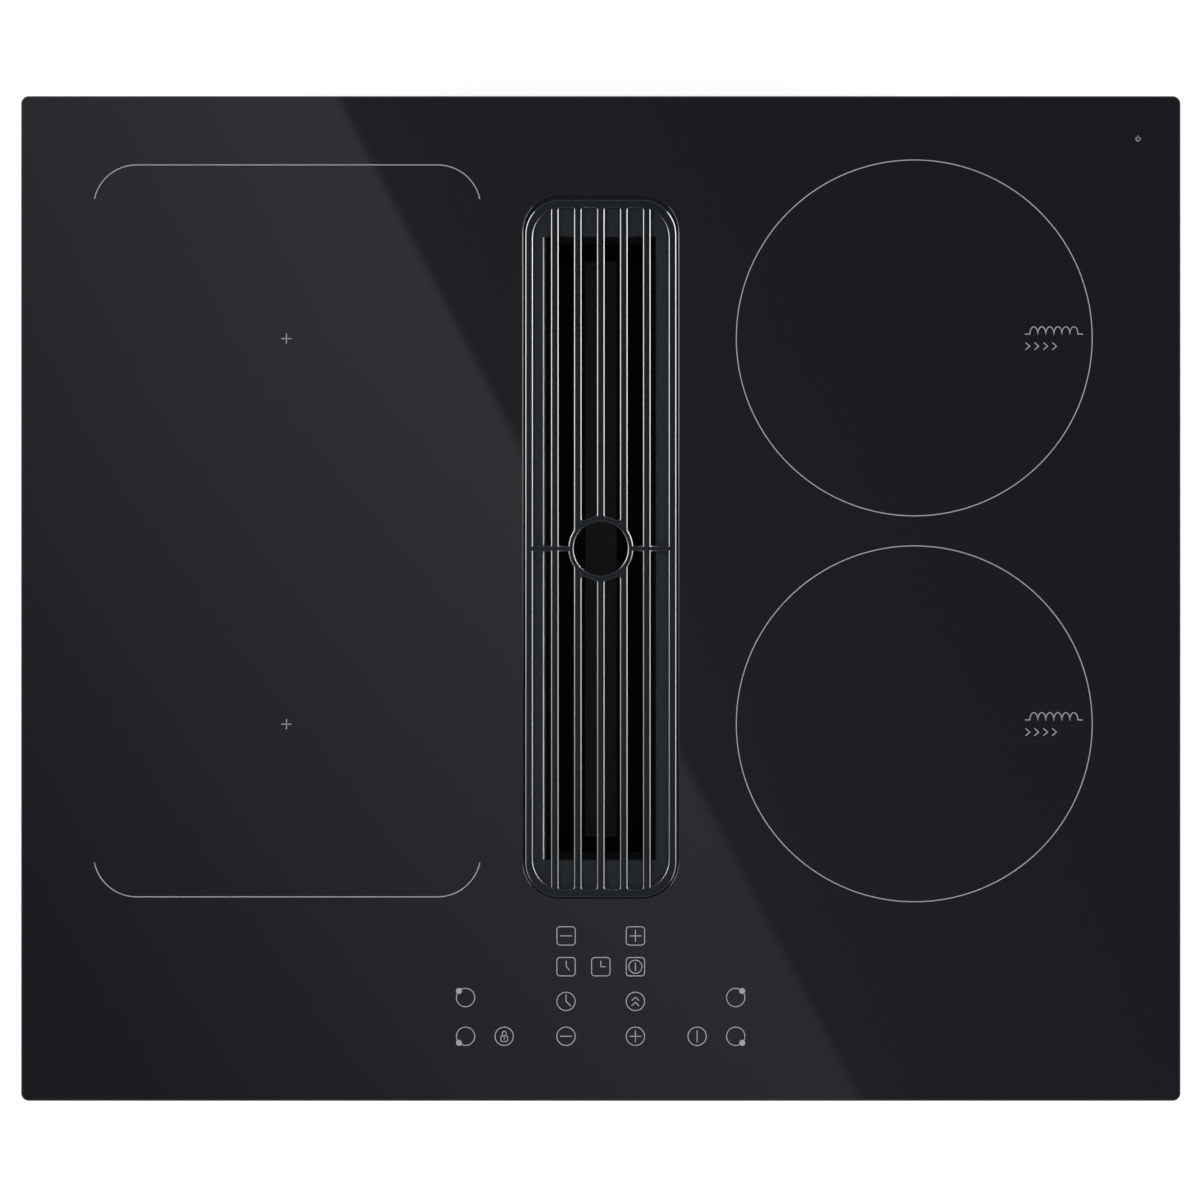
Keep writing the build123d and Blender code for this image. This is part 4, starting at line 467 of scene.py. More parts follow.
def rounded(centre, width, height, radius, steps=6):
    """Points round a rectangle with round corners."""
    x, y = width / 2 - radius, height / 2 - radius
    points = []
    for sx, sy, start in ((1, 1, 0), (-1, 1, 90), (-1, -1, 180), (1, -1, 270)):
        points += arc((centre[0] + sx * x, centre[1] + sy * y), radius, start, start + 90, steps)
    return points


def screw(bm, centre, axis, radius, height):
    """A pan head with a six-lobed socket, sunk a little into what carries it."""
    profile = [
        (radius, -0.2), (radius, height * 0.35), (radius * 0.88, height * 0.75), (radius * 0.66, height),
        (radius * 0.5, height, radius * 0.06), (radius * 0.44, height * 0.4, radius * 0.06),
    ]
    lathe(bm, centre, axis, profile, steps=bpy.context.scene.cooktop_hardware.screw_steps)


def rivet(bm, centre, axis, radius, height):
    """A domed rivet head."""
    profile = [
        (radius, -0.2), (radius, height * 0.3), (radius * 0.8, height * 0.75), (radius * 0.45, height),
    ]
    lathe(bm, centre, axis, profile, steps=20)


def put(bm, name, body, material, smooth=35):
    """Turns a mesh under construction into a piece that rides on a body."""
    bmesh.ops.recalc_face_normals(bm, faces=bm.faces)
    mesh = bpy.data.meshes.new(name)
    bm.to_mesh(mesh)
    bm.free()
    mesh.polygons.foreach_set("use_smooth", [True] * len(mesh.polygons))
    mesh.set_sharp_from_angle(angle=radians(smooth))
    mesh.materials.append(material)
    piece = bpy.data.objects.new(name, mesh)
    bpy.context.scene.collection.objects.link(piece)
    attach(piece, body)
    return piece


def put_in(bm, name, body, slot, smooth=35):
    """A piece in one of the record's finishes."""
    return put(bm, name, body, finish(slot), smooth)


def keep_flat(piece):
    """Lets long flat strips keep their own normals beside rounded ones."""
    piece.modifiers.new("flat_strips", "WEIGHTED_NORMAL").keep_sharp = True


def heads(name, body, places, shape=screw):
    """One piece made of all the heads at some (centre, axis, radius, height) places."""
    bm = bmesh.new()
    for place in places:
        shape(bm, *place)
    put_in(bm, name, body, "zinc_steel")


def blocks(name, body, slot, boxes, bevel=0.3):
    """One piece made of bevelled boxes."""
    bm = bmesh.new()
    for low, high in boxes:
        block(bm, low, high, bevel)
    put_in(bm, name, body, slot)


def hoops(name, body, slot, paths, section, up=UP):
    """One piece made of a section that runs round closed paths."""
    bm = bmesh.new()
    for path in paths:
        sweep(bm, path, section, up, closed=True)
    return put_in(bm, name, body, slot)


def mound(bm, x, y0, y1, z, radius, steps, levels):
    """A long low mound with round ends on an underside, from (drop, inset) levels."""
    loops = []
    for drop, inset in levels:
        reach = radius - inset
        ends = arc((x, y1), reach, 0, 180, steps) + arc((x, y0), reach, 180, 360, steps)
        loops.append([(u, v, z + drop) for u, v in ends])
    skin(bm, loops)


# ==================================================================== stage, with its lengths in metres
CARD_HEIGHT = 1.2
CARD_HALF = 0.55
# The slanting edge that the high card shows in the glass, in millimetres on the panel.
MIRROR_EDGE = ((-136.5, 259.8), (134.2, -259.3))
EDGE_CARD_X = 0.6
EDGE_CARD_Y = (-0.5, 0.7)
GRILLE_CARD_Z = (0.16, 0.32)
FACET_CARD_Z = (0.33, 0.44)
# Each edge card: the one piece that it shows in, its side, its lowest and highest point, and its levels
# at places along Y.
EDGE_CARDS = {
    "grille_card_left": (
        "grille_bevels", -1, GRILLE_CARD_Z,
        ((-0.2, 0.17), (-0.1, 0.26), (0.0, 0.37), (0.06, 0.58), (0.1, 0.66)),
    ),
    "grille_card_right": (
        "grille_bevels", 1, GRILLE_CARD_Z,
        ((-0.2, 0.24), (-0.1, 0.5), (0.0, 0.58), (0.1, 0.76), (0.2, 0.95)),
    ),
    "facet_card_left": (
        "slot_facet", -1, FACET_CARD_Z, ((-0.1, 0.0), (-0.02, 0.05), (0.05, 0.12), (0.1, 0.26)),
    ),
    "facet_card_right": (
        "slot_facet", 1, FACET_CARD_Z, ((-0.06, 0.0), (0.03, 0.08), (0.1, 0.2), (0.2, 0.34)),
    ),
}
# Each lamp: its place, its width and depth, its share of the lamp power, and whether gloss mirrors it.
LAMPS = {
    "lamp_left": ((-1.4, 0.0, 1.0), (1.8, 0.6), 1.0, True),
    "lamp_right": ((1.4, 0.0, 1.0), (1.8, 0.6), 1.0, True),
    "fill_front": ((0.0, -2.2, 0.9), (2.0, 1.2), 1.2, False),
    "fill_rear": ((0.0, 2.2, 0.9), (2.0, 1.2), 1.2, False),
    "top_fill": ((0.0, 0.0, 1.9), (0.9, 0.9), 1.3, False),
}
LAMP_TARGET = (0, 0, -0.05)


def blank(library, name):
    """A new material or world with nothing in its node tree."""
    made = library.new(name)
    made.use_nodes = True
    made.node_tree.nodes.clear()
    return made


class COOKTOP_OT_stage(bpy.types.Operator):
    """Sets up the camera, the floor, the background, the lamps and the cards that only gloss sees"""

    bl_idname = "cooktop.stage"
    bl_label = "Stage"

    camera_at = (-0.00042, -0.00078)
    sensor = 36.0
    floor_reach = 30.0
    floor_glow = 0.72

    def execute(self, context):
        settings = context.scene.cooktop_stage
        context.scene.view_settings.view_transform = "Standard"
        self.camera(context, settings)
        self.floor()
        self.background(context, settings)
        self.lamps(context, settings)
        self.mirror_card(settings)
        self.edge_cards(settings)
        return {"FINISHED"}

    def camera(self, context, settings):
        """Looks straight down from high up, as in the photograph."""
        data = bpy.data.cameras.new("camera")
        data.sensor_width = self.sensor
        data.lens = self.sensor * settings.camera_height / settings.view_width
        data.clip_end = 100.0
        camera = bpy.data.objects.new("camera", data)
        camera.location = (*self.camera_at, TOP_Z * MM + settings.camera_height)
        context.scene.collection.objects.link(camera)
        context.scene.camera = camera

    def sheet(self, name, corners, material, only_in_gloss=True):
        """A flat piece of the stage."""
        mesh = bpy.data.meshes.new(name)
        mesh.from_pydata(corners, [], [(0, 1, 2, 3)])
        mesh.materials.append(material)
        made = bpy.data.objects.new(name, mesh)
        bpy.context.scene.collection.objects.link(made)
        if only_in_gloss:
            made.visible_camera = made.visible_diffuse = made.visible_shadow = False
            made.visible_transmission = made.visible_volume_scatter = False
        made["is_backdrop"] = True
        return made

    def floor(self):
        """A pale floor that reads as white and still darkens under the cooktop."""
        material = blank(bpy.data.materials, "pale_floor")
        tree = material.node_tree
        path = add(tree, "ShaderNodeLightPath").outputs
        seen = maths(tree, "MAXIMUM", path["Is Camera Ray"], path["Is Glossy Ray"])
        seen = maths(tree, "MAXIMUM", seen, path["Is Transmission Ray"])
        level = maths(tree, "MULTIPLY", seen, self.floor_glow)
        glow = add(tree, "ShaderNodeEmission", {"Strength": level}).outputs[0]
        shade = add(tree, "ShaderNodeBsdfDiffuse", {"Color": (0.5, 0.5, 0.5, 1.0)}).outputs[0]
        lit = add(tree, "ShaderNodeAddShader", {0: shade, 1: glow}).outputs[0]
        under = add(tree, "ShaderNodeNewGeometry").outputs["Backfacing"]
        clear = add(tree, "ShaderNodeBsdfTransparent").outputs[0]
        choice = add(tree, "ShaderNodeMixShader", {"Fac": under, 1: lit, 2: clear}).outputs[0]
        add(tree, "ShaderNodeOutputMaterial", {"Surface": choice})
        reach, z = self.floor_reach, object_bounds()[0].z
        corners = [(-reach, -reach, z), (reach, -reach, z), (reach, reach, z), (-reach, reach, z)]
        self.sheet("floor", corners, material, only_in_gloss=False)

    def background(self, context, settings):
        """White to look at, mirrored as a bright horizon under a dark ceiling, and dim as a light."""
        context.scene.world = blank(bpy.data.worlds, "studio")
        tree = context.scene.world.node_tree
        path = add(tree, "ShaderNodeLightPath").outputs
        way = add(tree, "ShaderNodeTexCoord").outputs["Generated"]
        height = add(tree, "ShaderNodeSeparateXYZ", {0: way}).outputs["Z"]
        ceiling = span(tree, height, (0.15, 0.75), (0.85, 0.05), "SMOOTHSTEP")
        looked_at = maths(tree, "MAXIMUM", path["Is Camera Ray"], path["Is Transmission Ray"])
        mirrored = mix(tree, path["Is Glossy Ray"], settings.ambient, ceiling)
        strength = mix(tree, looked_at, mirrored, 1.0)
        sky = add(tree, "ShaderNodeBackground", {"Color": (1.0, 1.0, 1.0, 1.0), "Strength": strength})
        add(tree, "ShaderNodeOutputWorld", {"Surface": sky.outputs[0]})

    def lamps(self, context, settings):
        """Softboxes left, right and above, and a fill in front and behind."""
        for name, (place, size, share, gloss) in LAMPS.items():
            light = bpy.data.lights.new(name, "AREA")
            light.shape = "RECTANGLE"
            light.size, light.size_y = size
            light.energy = settings.lamp_power * share
            lamp = bpy.data.objects.new(name, light)
            lamp.location = place
            lamp.rotation_mode = "QUATERNION"
            lamp.rotation_quaternion = (Vector(LAMP_TARGET) - Vector(place)).to_track_quat("-Z", "Y")
            lamp.visible_camera = False
            lamp.visible_glossy = gloss
            context.scene.collection.objects.link(lamp)

    def edge_cards(self, settings):
        """Low upright cards left and right, bright behind and dark in front, for the slot's edges."""
        front, rear = EDGE_CARD_Y
        for name, (piece, side, (low, high), levels) in EDGE_CARDS.items():
            x = side * EDGE_CARD_X
            corners = [(x, front, low), (x, rear, low), (x, rear, high), (x, front, high)]
            card = self.sheet(name, corners, self.graded_glow(name, levels, settings.edge_glow))
            lit = bpy.data.collections.new(name)
            lit.objects.link(bpy.data.objects[piece])
            card.light_linking.receiver_collection = lit

    def graded_glow(self, name, levels, strength):
        """A glow that changes from front to rear, by (place along Y, level) stops."""
        material = blank(bpy.data.materials, name)
        tree = material.node_tree
        front, rear = EDGE_CARD_Y
        place = add(tree, "ShaderNodeTexCoord").outputs["Object"]
        y = add(tree, "ShaderNodeSeparateXYZ", {0: place}).outputs["Y"]
        profile = add(tree, "ShaderNodeValToRGB", {0: span(tree, y, EDGE_CARD_Y, (0, 1))})
        ramp = profile.color_ramp.elements
        for at, level in levels:
            stop = ramp.new((at - front) / (rear - front))
            stop.color = (level, level, level, 1.0)
        ramp.remove(ramp[0])
        ramp.remove(ramp[-1])
        self.glow(tree, profile.outputs[0], strength)
        return material

    def glow(self, tree, tint, strength):
        """Ends a card's node tree with a glow."""
        glow = add(tree, "ShaderNodeEmission", {"Color": tint, "Strength": strength}).outputs[0]
        add(tree, "ShaderNodeOutputMaterial", {"Surface": glow})

    def mirror_card(self, settings):
        """A card high above, pale left of a slanting edge, that only the gloss of the cooktop sees."""
        material = blank(bpy.data.materials, "pale_card")
        tree = material.node_tree
        # where the camera sees a point of the card mirrored in the glass, in millimetres
        reach = settings.camera_height / (settings.camera_height + CARD_HEIGHT)
        shift = [at * (1 - reach) / MM for at in (*self.camera_at, 0)]
        inputs = {0: add(tree, "ShaderNodeTexCoord").outputs["Object"], 1: (reach / MM,) * 3, 2: shift}
        on_glass = add(tree, "ShaderNodeVectorMath", inputs, operation="MULTIPLY_ADD").outputs[0]
        (x0, y0), (x1, y1) = MIRROR_EDGE
        long = hypot(x1 - x0, y1 - y0)
        along = ((x1 - x0) / long, (y1 - y0) / long)
        away = (along[1], -along[0])

        def distance(way):
            """Distance from the edge's upper end in one direction of the glass."""
            inputs = {0: on_glass, 1: (*way, 0)}
            made = add(tree, "ShaderNodeVectorMath", inputs, operation="DOT_PRODUCT")
            return maths(tree, "SUBTRACT", made.outputs["Value"], way[0] * x0 + way[1] * y0)

        off, down = distance(away), distance(along)
        fading = span(tree, off, (0, 330), (1, 0.07))
        lower = span(tree, down, (100, 562), (1, 0.63))
        pale = maths(tree, "MULTIPLY", fading, lower)
        dim = span(tree, off, (-260, -20), (0, 0.16))
        level = mix(tree, span(tree, off, (-0.4, 0.4), (0, 1)), dim, pale)
        self.glow(tree, (0.83, 0.86, 1.0, 1.0), maths(tree, "MULTIPLY", level, settings.card_glow))
        half, z = CARD_HALF, TOP_Z * MM + CARD_HEIGHT
        corners = [(-half, half, z), (half, half, z), (half, -half, z), (-half, -half, z)]
        self.sheet("card", corners, material)


# ==================================================================== glass and its signs
ROUND_ZONES = ((162.2, 134.85), (162.2, -64.85))
ROUND_ZONE_R = 92.1
FLEX_X = (-240.2, -84.5)
FLEX_Y = (-154.4, 224.4)
FLEX_CORNER = 22.4
FLEX_SWEEP = 78.0
FLEX_MIDDLES = ((-162.7, 134.5), (-162.7, -65.0))
MIDDLE_SCALE = 0.85
KEY_R = 4.75
KEY_CORNER = 1.6


def open_line(*points):
    """A line with two ends, as (points, closed)."""
    return (list(points), False)


MINUS = [open_line((-3.1, 0), (3.1, 0))]
PLUS = MINUS + [open_line((0, -3.1), (0, 3.1))]
ROUND = [(circle((0, 0), KEY_R), True)]
SQUARE = [(rounded((0, 0), 2 * KEY_R, 2 * KEY_R, KEY_CORNER), True)]
TIMER = [open_line((0.1, 3.1), (0.1, 0.2), (1.8, -1.9))]
CLOCK = [open_line((0, 3.7), (0, 0.1), (2.6, -2.5))]
QUARTER = [open_line((0, 3.1), (0, 0), (2.5, 0))]
BAR = [open_line((0, -3.1), (0, 3.1))]
POWER = [(circle((0, 0), 3.4), True), open_line((0, -2.2), (0, 2.2))]
CHEVRONS = [
    open_line((-1.9, -2.3), (0, -0.5), (1.9, -2.3)),
    open_line((-1.9, 0.4), (0, 2.2), (1.9, 0.4)),
]
PADLOCK = [
    (rounded((0, -1.25), 3.5, 3.0, 0.9), True),
    open_line((-1.1, 0.25), (-0.95, 1.5), *arc((0, 1.65), 0.95, 170, 10, 8), (0.95, 1.5), (1.1, 0.25)),
    open_line((0, -0.5), (0, -1.7)),
]
KEY_COLUMNS = (-70, -50, -18, 0, 17.9, 49.85, 69.8)
KEY_ROWS = (-174.6, -190.55, -206.5, -208.5, -226.55)
# Each key: its column, its row and its sign.
KEYS = [
    (2, 0, SQUARE + MINUS),
    (4, 0, SQUARE + PLUS),
    (2, 1, SQUARE + TIMER),
    (3, 1, SQUARE + QUARTER),
    (4, 1, SQUARE + POWER),
    (2, 3, ROUND + CLOCK),
    (4, 3, ROUND + CHEVRONS),
    (1, 4, ROUND + PADLOCK),
    (2, 4, ROUND + MINUS),
    (4, 4, ROUND + PLUS),
    (5, 4, ROUND + BAR),
]
# Each zone's key: its column, its row, and the way right and back from its middle to its dot.
ZONE_KEYS = [(0, 2, -1, 1), (6, 2, 1, 1), (0, 4, -1, -1), (6, 4, 1, -1)]
ZONE_DOT_R = 1.55
ZONE_DOT_OFFSET = 3.4
CORNER_SIGN = [open_line(*arc((0, 0), 1.1, 135, 405, 16)), open_line((0, 0.4), (0, 1.7))]
CORNER_SIGN_AT = (278.0, 237.9)
CORNER_SIGN_LINE = 0.45
COIL_X = (219.4, 249.5)
COIL_OFFSET = 3.9
COIL_RISE = 3.8
COIL_LEAD = 2.6
COIL_HUMPS = 6
CHEVRON_DROP = 8.2


def draw(bm, lines, width, at=(0, 0), scale=1.0):
    """Prints lines at a place, each a hair's breadth of ink on the glass."""
    half = width / 2
    section = [(-half, -0.01), (half, -0.01), (half, 0.02), (-half, 0.02)]
    for points, closed in lines:
        path = [(at[0] + scale * x, at[1] + scale * y, TOP_Z) for x, y in points]
        sweep(bm, path, section, closed=closed)


class COOKTOP_OT_glass(bpy.types.Operator):
    """Finishes the glass, its foam seal and the slot's trim, and adds a polished facet round the slot and
    a pale strip of painted highlight along the throat's left edge
    """

    bl_idname = "cooktop.glass"
    bl_label = "Glass Panel"

    slot_middle = (0.0, 26.75)
    slot_size = (80.0, 363.7)
    slot_corner = 18.9
    facet = [(0.2, -0.21), (0.6, 0.005), (0.6, -0.2), (0.25, -0.5)]
    # Place and size of the pale strip of painted highlight along the throat's left edge.
    strip_offset = 1.45
    strip_half, strip_rise = 0.32, 0.35

    def execute(self, context):
        dress("glass_top", "perimeter_seal", "recess_trim")
        self.slot_facet()
        self.throat_strip()
        return {"FINISHED"}

    def slot_facet(self):
        """The narrow polished facet where the slot's bevel meets the panel's upper face."""
        outline = rounded(self.slot_middle, *self.slot_size, self.slot_corner, 16)
        path = [(x, y, TOP_Z) for x, y in outline]
        keep_flat(hoops("slot_facet", "cooktop", "black_glass", [path], self.facet))

    def throat_strip(self):
        """A thin pale strip along the left edge of the throat under the grille: a painted highlight, pale
        under any light, in place of the edge's shine.
        """
        low, high = node_box("filter_frame")
        x, z = low.x - self.strip_offset, node_box("grille_feet")[0].z
        half, rise = self.strip_half, self.strip_rise
        crown = [(half, rise * 0.7), (half * 0.6, rise), (-half * 0.6, rise), (-half, rise * 0.7)]
        bm = bmesh.new()
        sweep(bm, [(x, low.y, z), (x, high.y, z)], [(-half, -0.1), (half, -0.1), *crown])
        # Painted highlight: a pale diffuse strip that stands in for the shine of the throat's edge.
        put(bm, "throat_strip", "cooktop", build_material("painted_highlight_strip", (0.88, 0.89, 0.91), "grain", 0.35))


class COOKTOP_OT_signs(bpy.types.Operator):
    """Prints the zone lines, the touch signs and the small pictograms on the glass"""

    bl_idname = "cooktop.signs"
    bl_label = "Printed Signs"

    def execute(self, context):
        settings = context.scene.cooktop_print
        ink = build_material("print_ink", settings.ink, "flecks", 0.45, values={"Fleck Size": 0.3})
        zone_line, sign_line = settings.line_width / MM, settings.sign_line_width / MM
        for name, signs, width in (
            ("round_zone_lines", self.round_zones, zone_line),
            ("flex_zone_lines", self.flex_zone, zone_line),
            ("touch_signs", self.touch_signs, sign_line),
            ("zone_marks", self.zone_marks, sign_line),
            ("coil_pictograms", self.coils, sign_line),
        ):
            bm = bmesh.new()
            signs(bm, width)
            put(bm, name, "cooktop", ink)
        return {"FINISHED"}

    def round_zones(self, bm, width):
        """The round zones' circles."""
        draw(bm, [(circle(centre, ROUND_ZONE_R, 144), True) for centre in ROUND_ZONES], width)

    def flex_zone(self, bm, width):
        """The flex zone's rear and front end, which leave its sides open."""
        for y, inward in ((FLEX_Y[1], -1), (FLEX_Y[0], 1)):
            middle = y + inward * FLEX_CORNER
            points = arc((FLEX_X[0], middle), FLEX_CORNER, 90 + FLEX_SWEEP, 90)
            points += arc((FLEX_X[1], middle), FLEX_CORNER, 90, 90 - FLEX_SWEEP)
            if inward > 0:
                points = [(x, 2 * middle - v) for x, v in points]
            draw(bm, [(points, False)], width)

    def touch_signs(self, bm, width):
        """The keys' signs, and the four zones' keys, each with a dot on its zone's side."""
        for column, row, sign in KEYS:
            draw(bm, sign, width, (KEY_COLUMNS[column], KEY_ROWS[row]))
        for column, row, right, back in ZONE_KEYS:
            x, y = KEY_COLUMNS[column], KEY_ROWS[row]
            draw(bm, ROUND, width, (x, y))
            dot = (x + right * ZONE_DOT_OFFSET, y + back * ZONE_DOT_OFFSET, TOP_Z)
            lathe(bm, dot, UP, [(ZONE_DOT_R, -0.01), (ZONE_DOT_R, 0.025)])

    def zone_marks(self, bm, width):
        """The crosses at the flex zone's middles and the power sign in the panel's corner."""
        for middle in FLEX_MIDDLES:
            draw(bm, PLUS, width, middle, MIDDLE_SCALE)
        draw(bm, CORNER_SIGN, CORNER_SIGN_LINE, CORNER_SIGN_AT)

    def coils(self, bm, width):
        """By each round zone a coil, drawn as a row of humps, with a row of chevrons under it."""
        x0, x1 = COIL_X
        pitch = (x1 - x0 - 2 * COIL_LEAD) / COIL_HUMPS
        for _, zone_y in ROUND_ZONES:
            y = zone_y + COIL_OFFSET
            base = y - COIL_RISE / 2
            points = [(x0, base), (x0 + COIL_LEAD, base)]
            for hump in range(COIL_HUMPS):
                middle = x0 + COIL_LEAD + pitch * (hump + 0.5)
                for step in range(1, 11):
                    turn = pi * (1 - step / 10)
                    points.append((middle + pitch / 2 * cos(turn), base + COIL_RISE * sin(turn)))
            draw(bm, [open_line(*points, (x1, base))], width)
            y -= CHEVRON_DROP
            for mark in range(4):
                x = x0 + 0.4 + 4.6 * mark
                draw(bm, [open_line((x, y - 1.9), (x + 2.2, y), (x, y + 1.9))], width)


# ==================================================================== grille and filter
class COOKTOP_OT_grille(bpy.types.Operator):
    """Finishes the cast grille and its feet, and adds its fillets and the gloss of its bevels"""

    bl_idname = "cooktop.grille"
    bl_label = "Grille"

    rib_half = 1.9
    rib_pitch = 11.9
    rim_end = 4.1
    ring = 16.75
    fillet = 1.2
    depth = 8.0
    bevel, bevel_depth = 0.45, 0.3
    merge = 0.0005
    lean_slack = 0.08
    gloss_rise, gloss_thickness = 0.008, 0.03

    def execute(self, context):
        dress("grille", "grille_feet")
        self.fillets()
        self.glossy_bevels(context)
        return {"FINISHED"}

    def fillets(self):
        """Small fillets where the ribs run into the rim's ends and into the ring."""
        low, high = node_box("grille")
        centre_y = (low.y + high.y) / 2
        bm = bmesh.new()
        for back in SIDES:
            edge_y = centre_y + back * ((high.y - low.y) / 2 - self.rim_end)
            for rib in (-2, -1, 0, 1, 2):
                for side in SIDES:
                    if rib * side == 2:
                        continue
                    edge_x = rib * self.rib_pitch + side * self.rib_half
                    hub = (edge_x + side * self.fillet, edge_y - back * self.fillet)
                    self.fillet_at(bm, (edge_x, edge_y), hub, (-side, 0), (0, back))
            reach = self.ring + self.fillet
            for rib, side in ((-1, 1), (0, -1), (0, 1), (1, -1)):
                edge_x = rib * self.rib_pitch + side * self.rib_half
                corner = (edge_x, centre_y + back * (self.ring**2 - edge_x**2) ** 0.5)
                hub_x = edge_x + side * self.fillet
                hub_y = back * (reach**2 - hub_x**2) ** 0.5
                to_ring = (-hub_x / reach, -hub_y / reach)
                self.fillet_at(bm, corner, (hub_x, centre_y + hub_y), (-side, 0), to_ring)
        put_in(bm, "grille_fillets", "grille", "grille_coat")

    def fillet_at(self, bm, corner, hub, first, second):
        """A concave fillet round a hub, between two directions, that widens upwards into the bevels."""
        corner, hub, first, second = (Vector(value) for value in (corner, hub, first, second))
        loops = []
        for z, cut in ((-self.depth, 0.0), (-self.bevel_depth, 0.0), (0.0, self.bevel)):
            sunk = cut + 0.3
            loop = [hub + first * (self.fillet + sunk), corner + (first + second).normalized() * sunk]
            loop.append(hub + second * (self.fillet + sunk))
            for step in range(7):
                loop.append(hub + second.slerp(first, step / 6) * (self.fillet + cut))
            loops.append([(*point, TOP_Z + z) for point in loop])
        skin(bm, loops)

    def glossy_bevels(self, context):
        """A thin smooth skin over every bevel, where the enamel is drawn tight round the edges."""
        bm = bmesh.new()
        for made in (frame["nodes"]["grille"], bpy.data.objects["grille_fillets"]):
            bm.from_mesh(made.data)
        bmesh.ops.remove_doubles(bm, verts=bm.verts, dist=self.merge * MM)
        bm.normal_update()
        lean = self.bevel / hypot(self.bevel, self.bevel_depth)
        others = [face for face in bm.faces if abs(face.normal.z - lean) > self.lean_slack]
        bmesh.ops.delete(bm, geom=others, context="FACES")
        bm.normal_update()
        for vertex in bm.verts:
            vertex.co += vertex.normal * self.gloss_rise * MM
        bmesh.ops.solidify(bm, geom=bm.faces[:], thickness=self.gloss_thickness * MM)
        enamel = context.scene.cooktop_finishes.grille_coat
        smooth = build_material("smooth_enamel", enamel, "skin", 0.16, values={"Gloss Spread": 0.04})
        keep_flat(put(bm, "grille_bevels", "grille", smooth, smooth=12))


class COOKTOP_OT_filter(bpy.types.Operator):
    """Finishes the grease filter and builds its layers of expanded mesh"""

    bl_idname = "cooktop.filter"
    bl_label = "Grease Filter"

    slab = 2.0
    strand = 0.32
    rows = 13
    layer_gap, layer_phase = 0.55, 0.25
    fold, fold_width, fold_height = 0.6, 0.6, 0.9

    def execute(self, context):
        dress("filter_frame", "filter_tray")
        pitch = context.scene.cooktop_hardware.mesh_pitch / MM
        for side, name in ((-1, "filter_mesh_left"), (1, "filter_mesh_right")):
            low, high = node_box(name)
            bottom_x, top_x = (low.x + self.slab / 2, high.x - self.slab / 2)[::side]
            bm = bmesh.new()
            for layer in SIDES:
                shift = layer * self.layer_gap
                foot = Vector((bottom_x + shift, low.y, low.z))
                head = Vector((top_x + shift, low.y, high.z))
                self.lattice(bm, foot, head, high.y - low.y, pitch, layer * self.layer_phase)
            self.folded_edge(bm, low, high, bottom_x, top_x)
            piece = put_in(bm, name.replace("filter_mesh", "filter_lattice"), "filter", "filter_mesh")
            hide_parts(name)
        return {"FINISHED"}

    def lattice(self, bm, foot, head, run, pitch, phase):
        """Diamonds of thin strands over a leaning rectangle."""
        columns = int(run / pitch)
        along = Vector((0, run / columns, 0))
        rise = (head - foot) / self.rows
        out = rise.cross(along).normalized()
        for row in range(self.rows):
            for column in range(columns):
                middle = foot + along * (column + 0.5 + phase * (row % 2)) + rise * (row + 0.5)
                tips = (middle - along / 2, middle - rise / 2, middle + along / 2, middle + rise / 2)
                for start, stop in zip(tips, tips[1:] + tips[:1]):
                    if max(start.y, stop.y) < foot.y + run:
                        self.strip(bm, start, stop, out)

    def strip(self, bm, start, stop, out):
        """One strand of the mesh."""
        half = self.strand / 2
        across = (stop - start).normalized().cross(out) * half
        depth = out * half
        ring = (across + depth, depth - across, -across - depth, across - depth)
        skin(bm, [[start + corner for corner in ring], [stop + corner for corner in ring]])

    def folded_edge(self, bm, low, high, bottom_x, top_x):
        """A folded edge round the lattice, as a path round its rectangle."""
        front, rear = low.y + self.fold, high.y - self.fold
        bottom, top = low.z + self.fold, high.z - self.fold
        path = [(bottom_x, front, bottom), (bottom_x, rear, bottom)]
        path += [(top_x, rear, top), (top_x, front, top)]
        lean = Vector(path[3]) - Vector(path[0])
        wide, tall = self.fold_width, self.fold_height
        section = [(-wide, -tall), (wide, -tall), (wide, tall), (-wide, tall)]
        sweep(bm, path, section, lean.cross(REAR).normalized(), closed=True)


# ==================================================================== casing
CASE_X, CASE_Y = 276.0, 241.0
CASE_BOTTOM, CASE_TOP = -56.0, 1.0


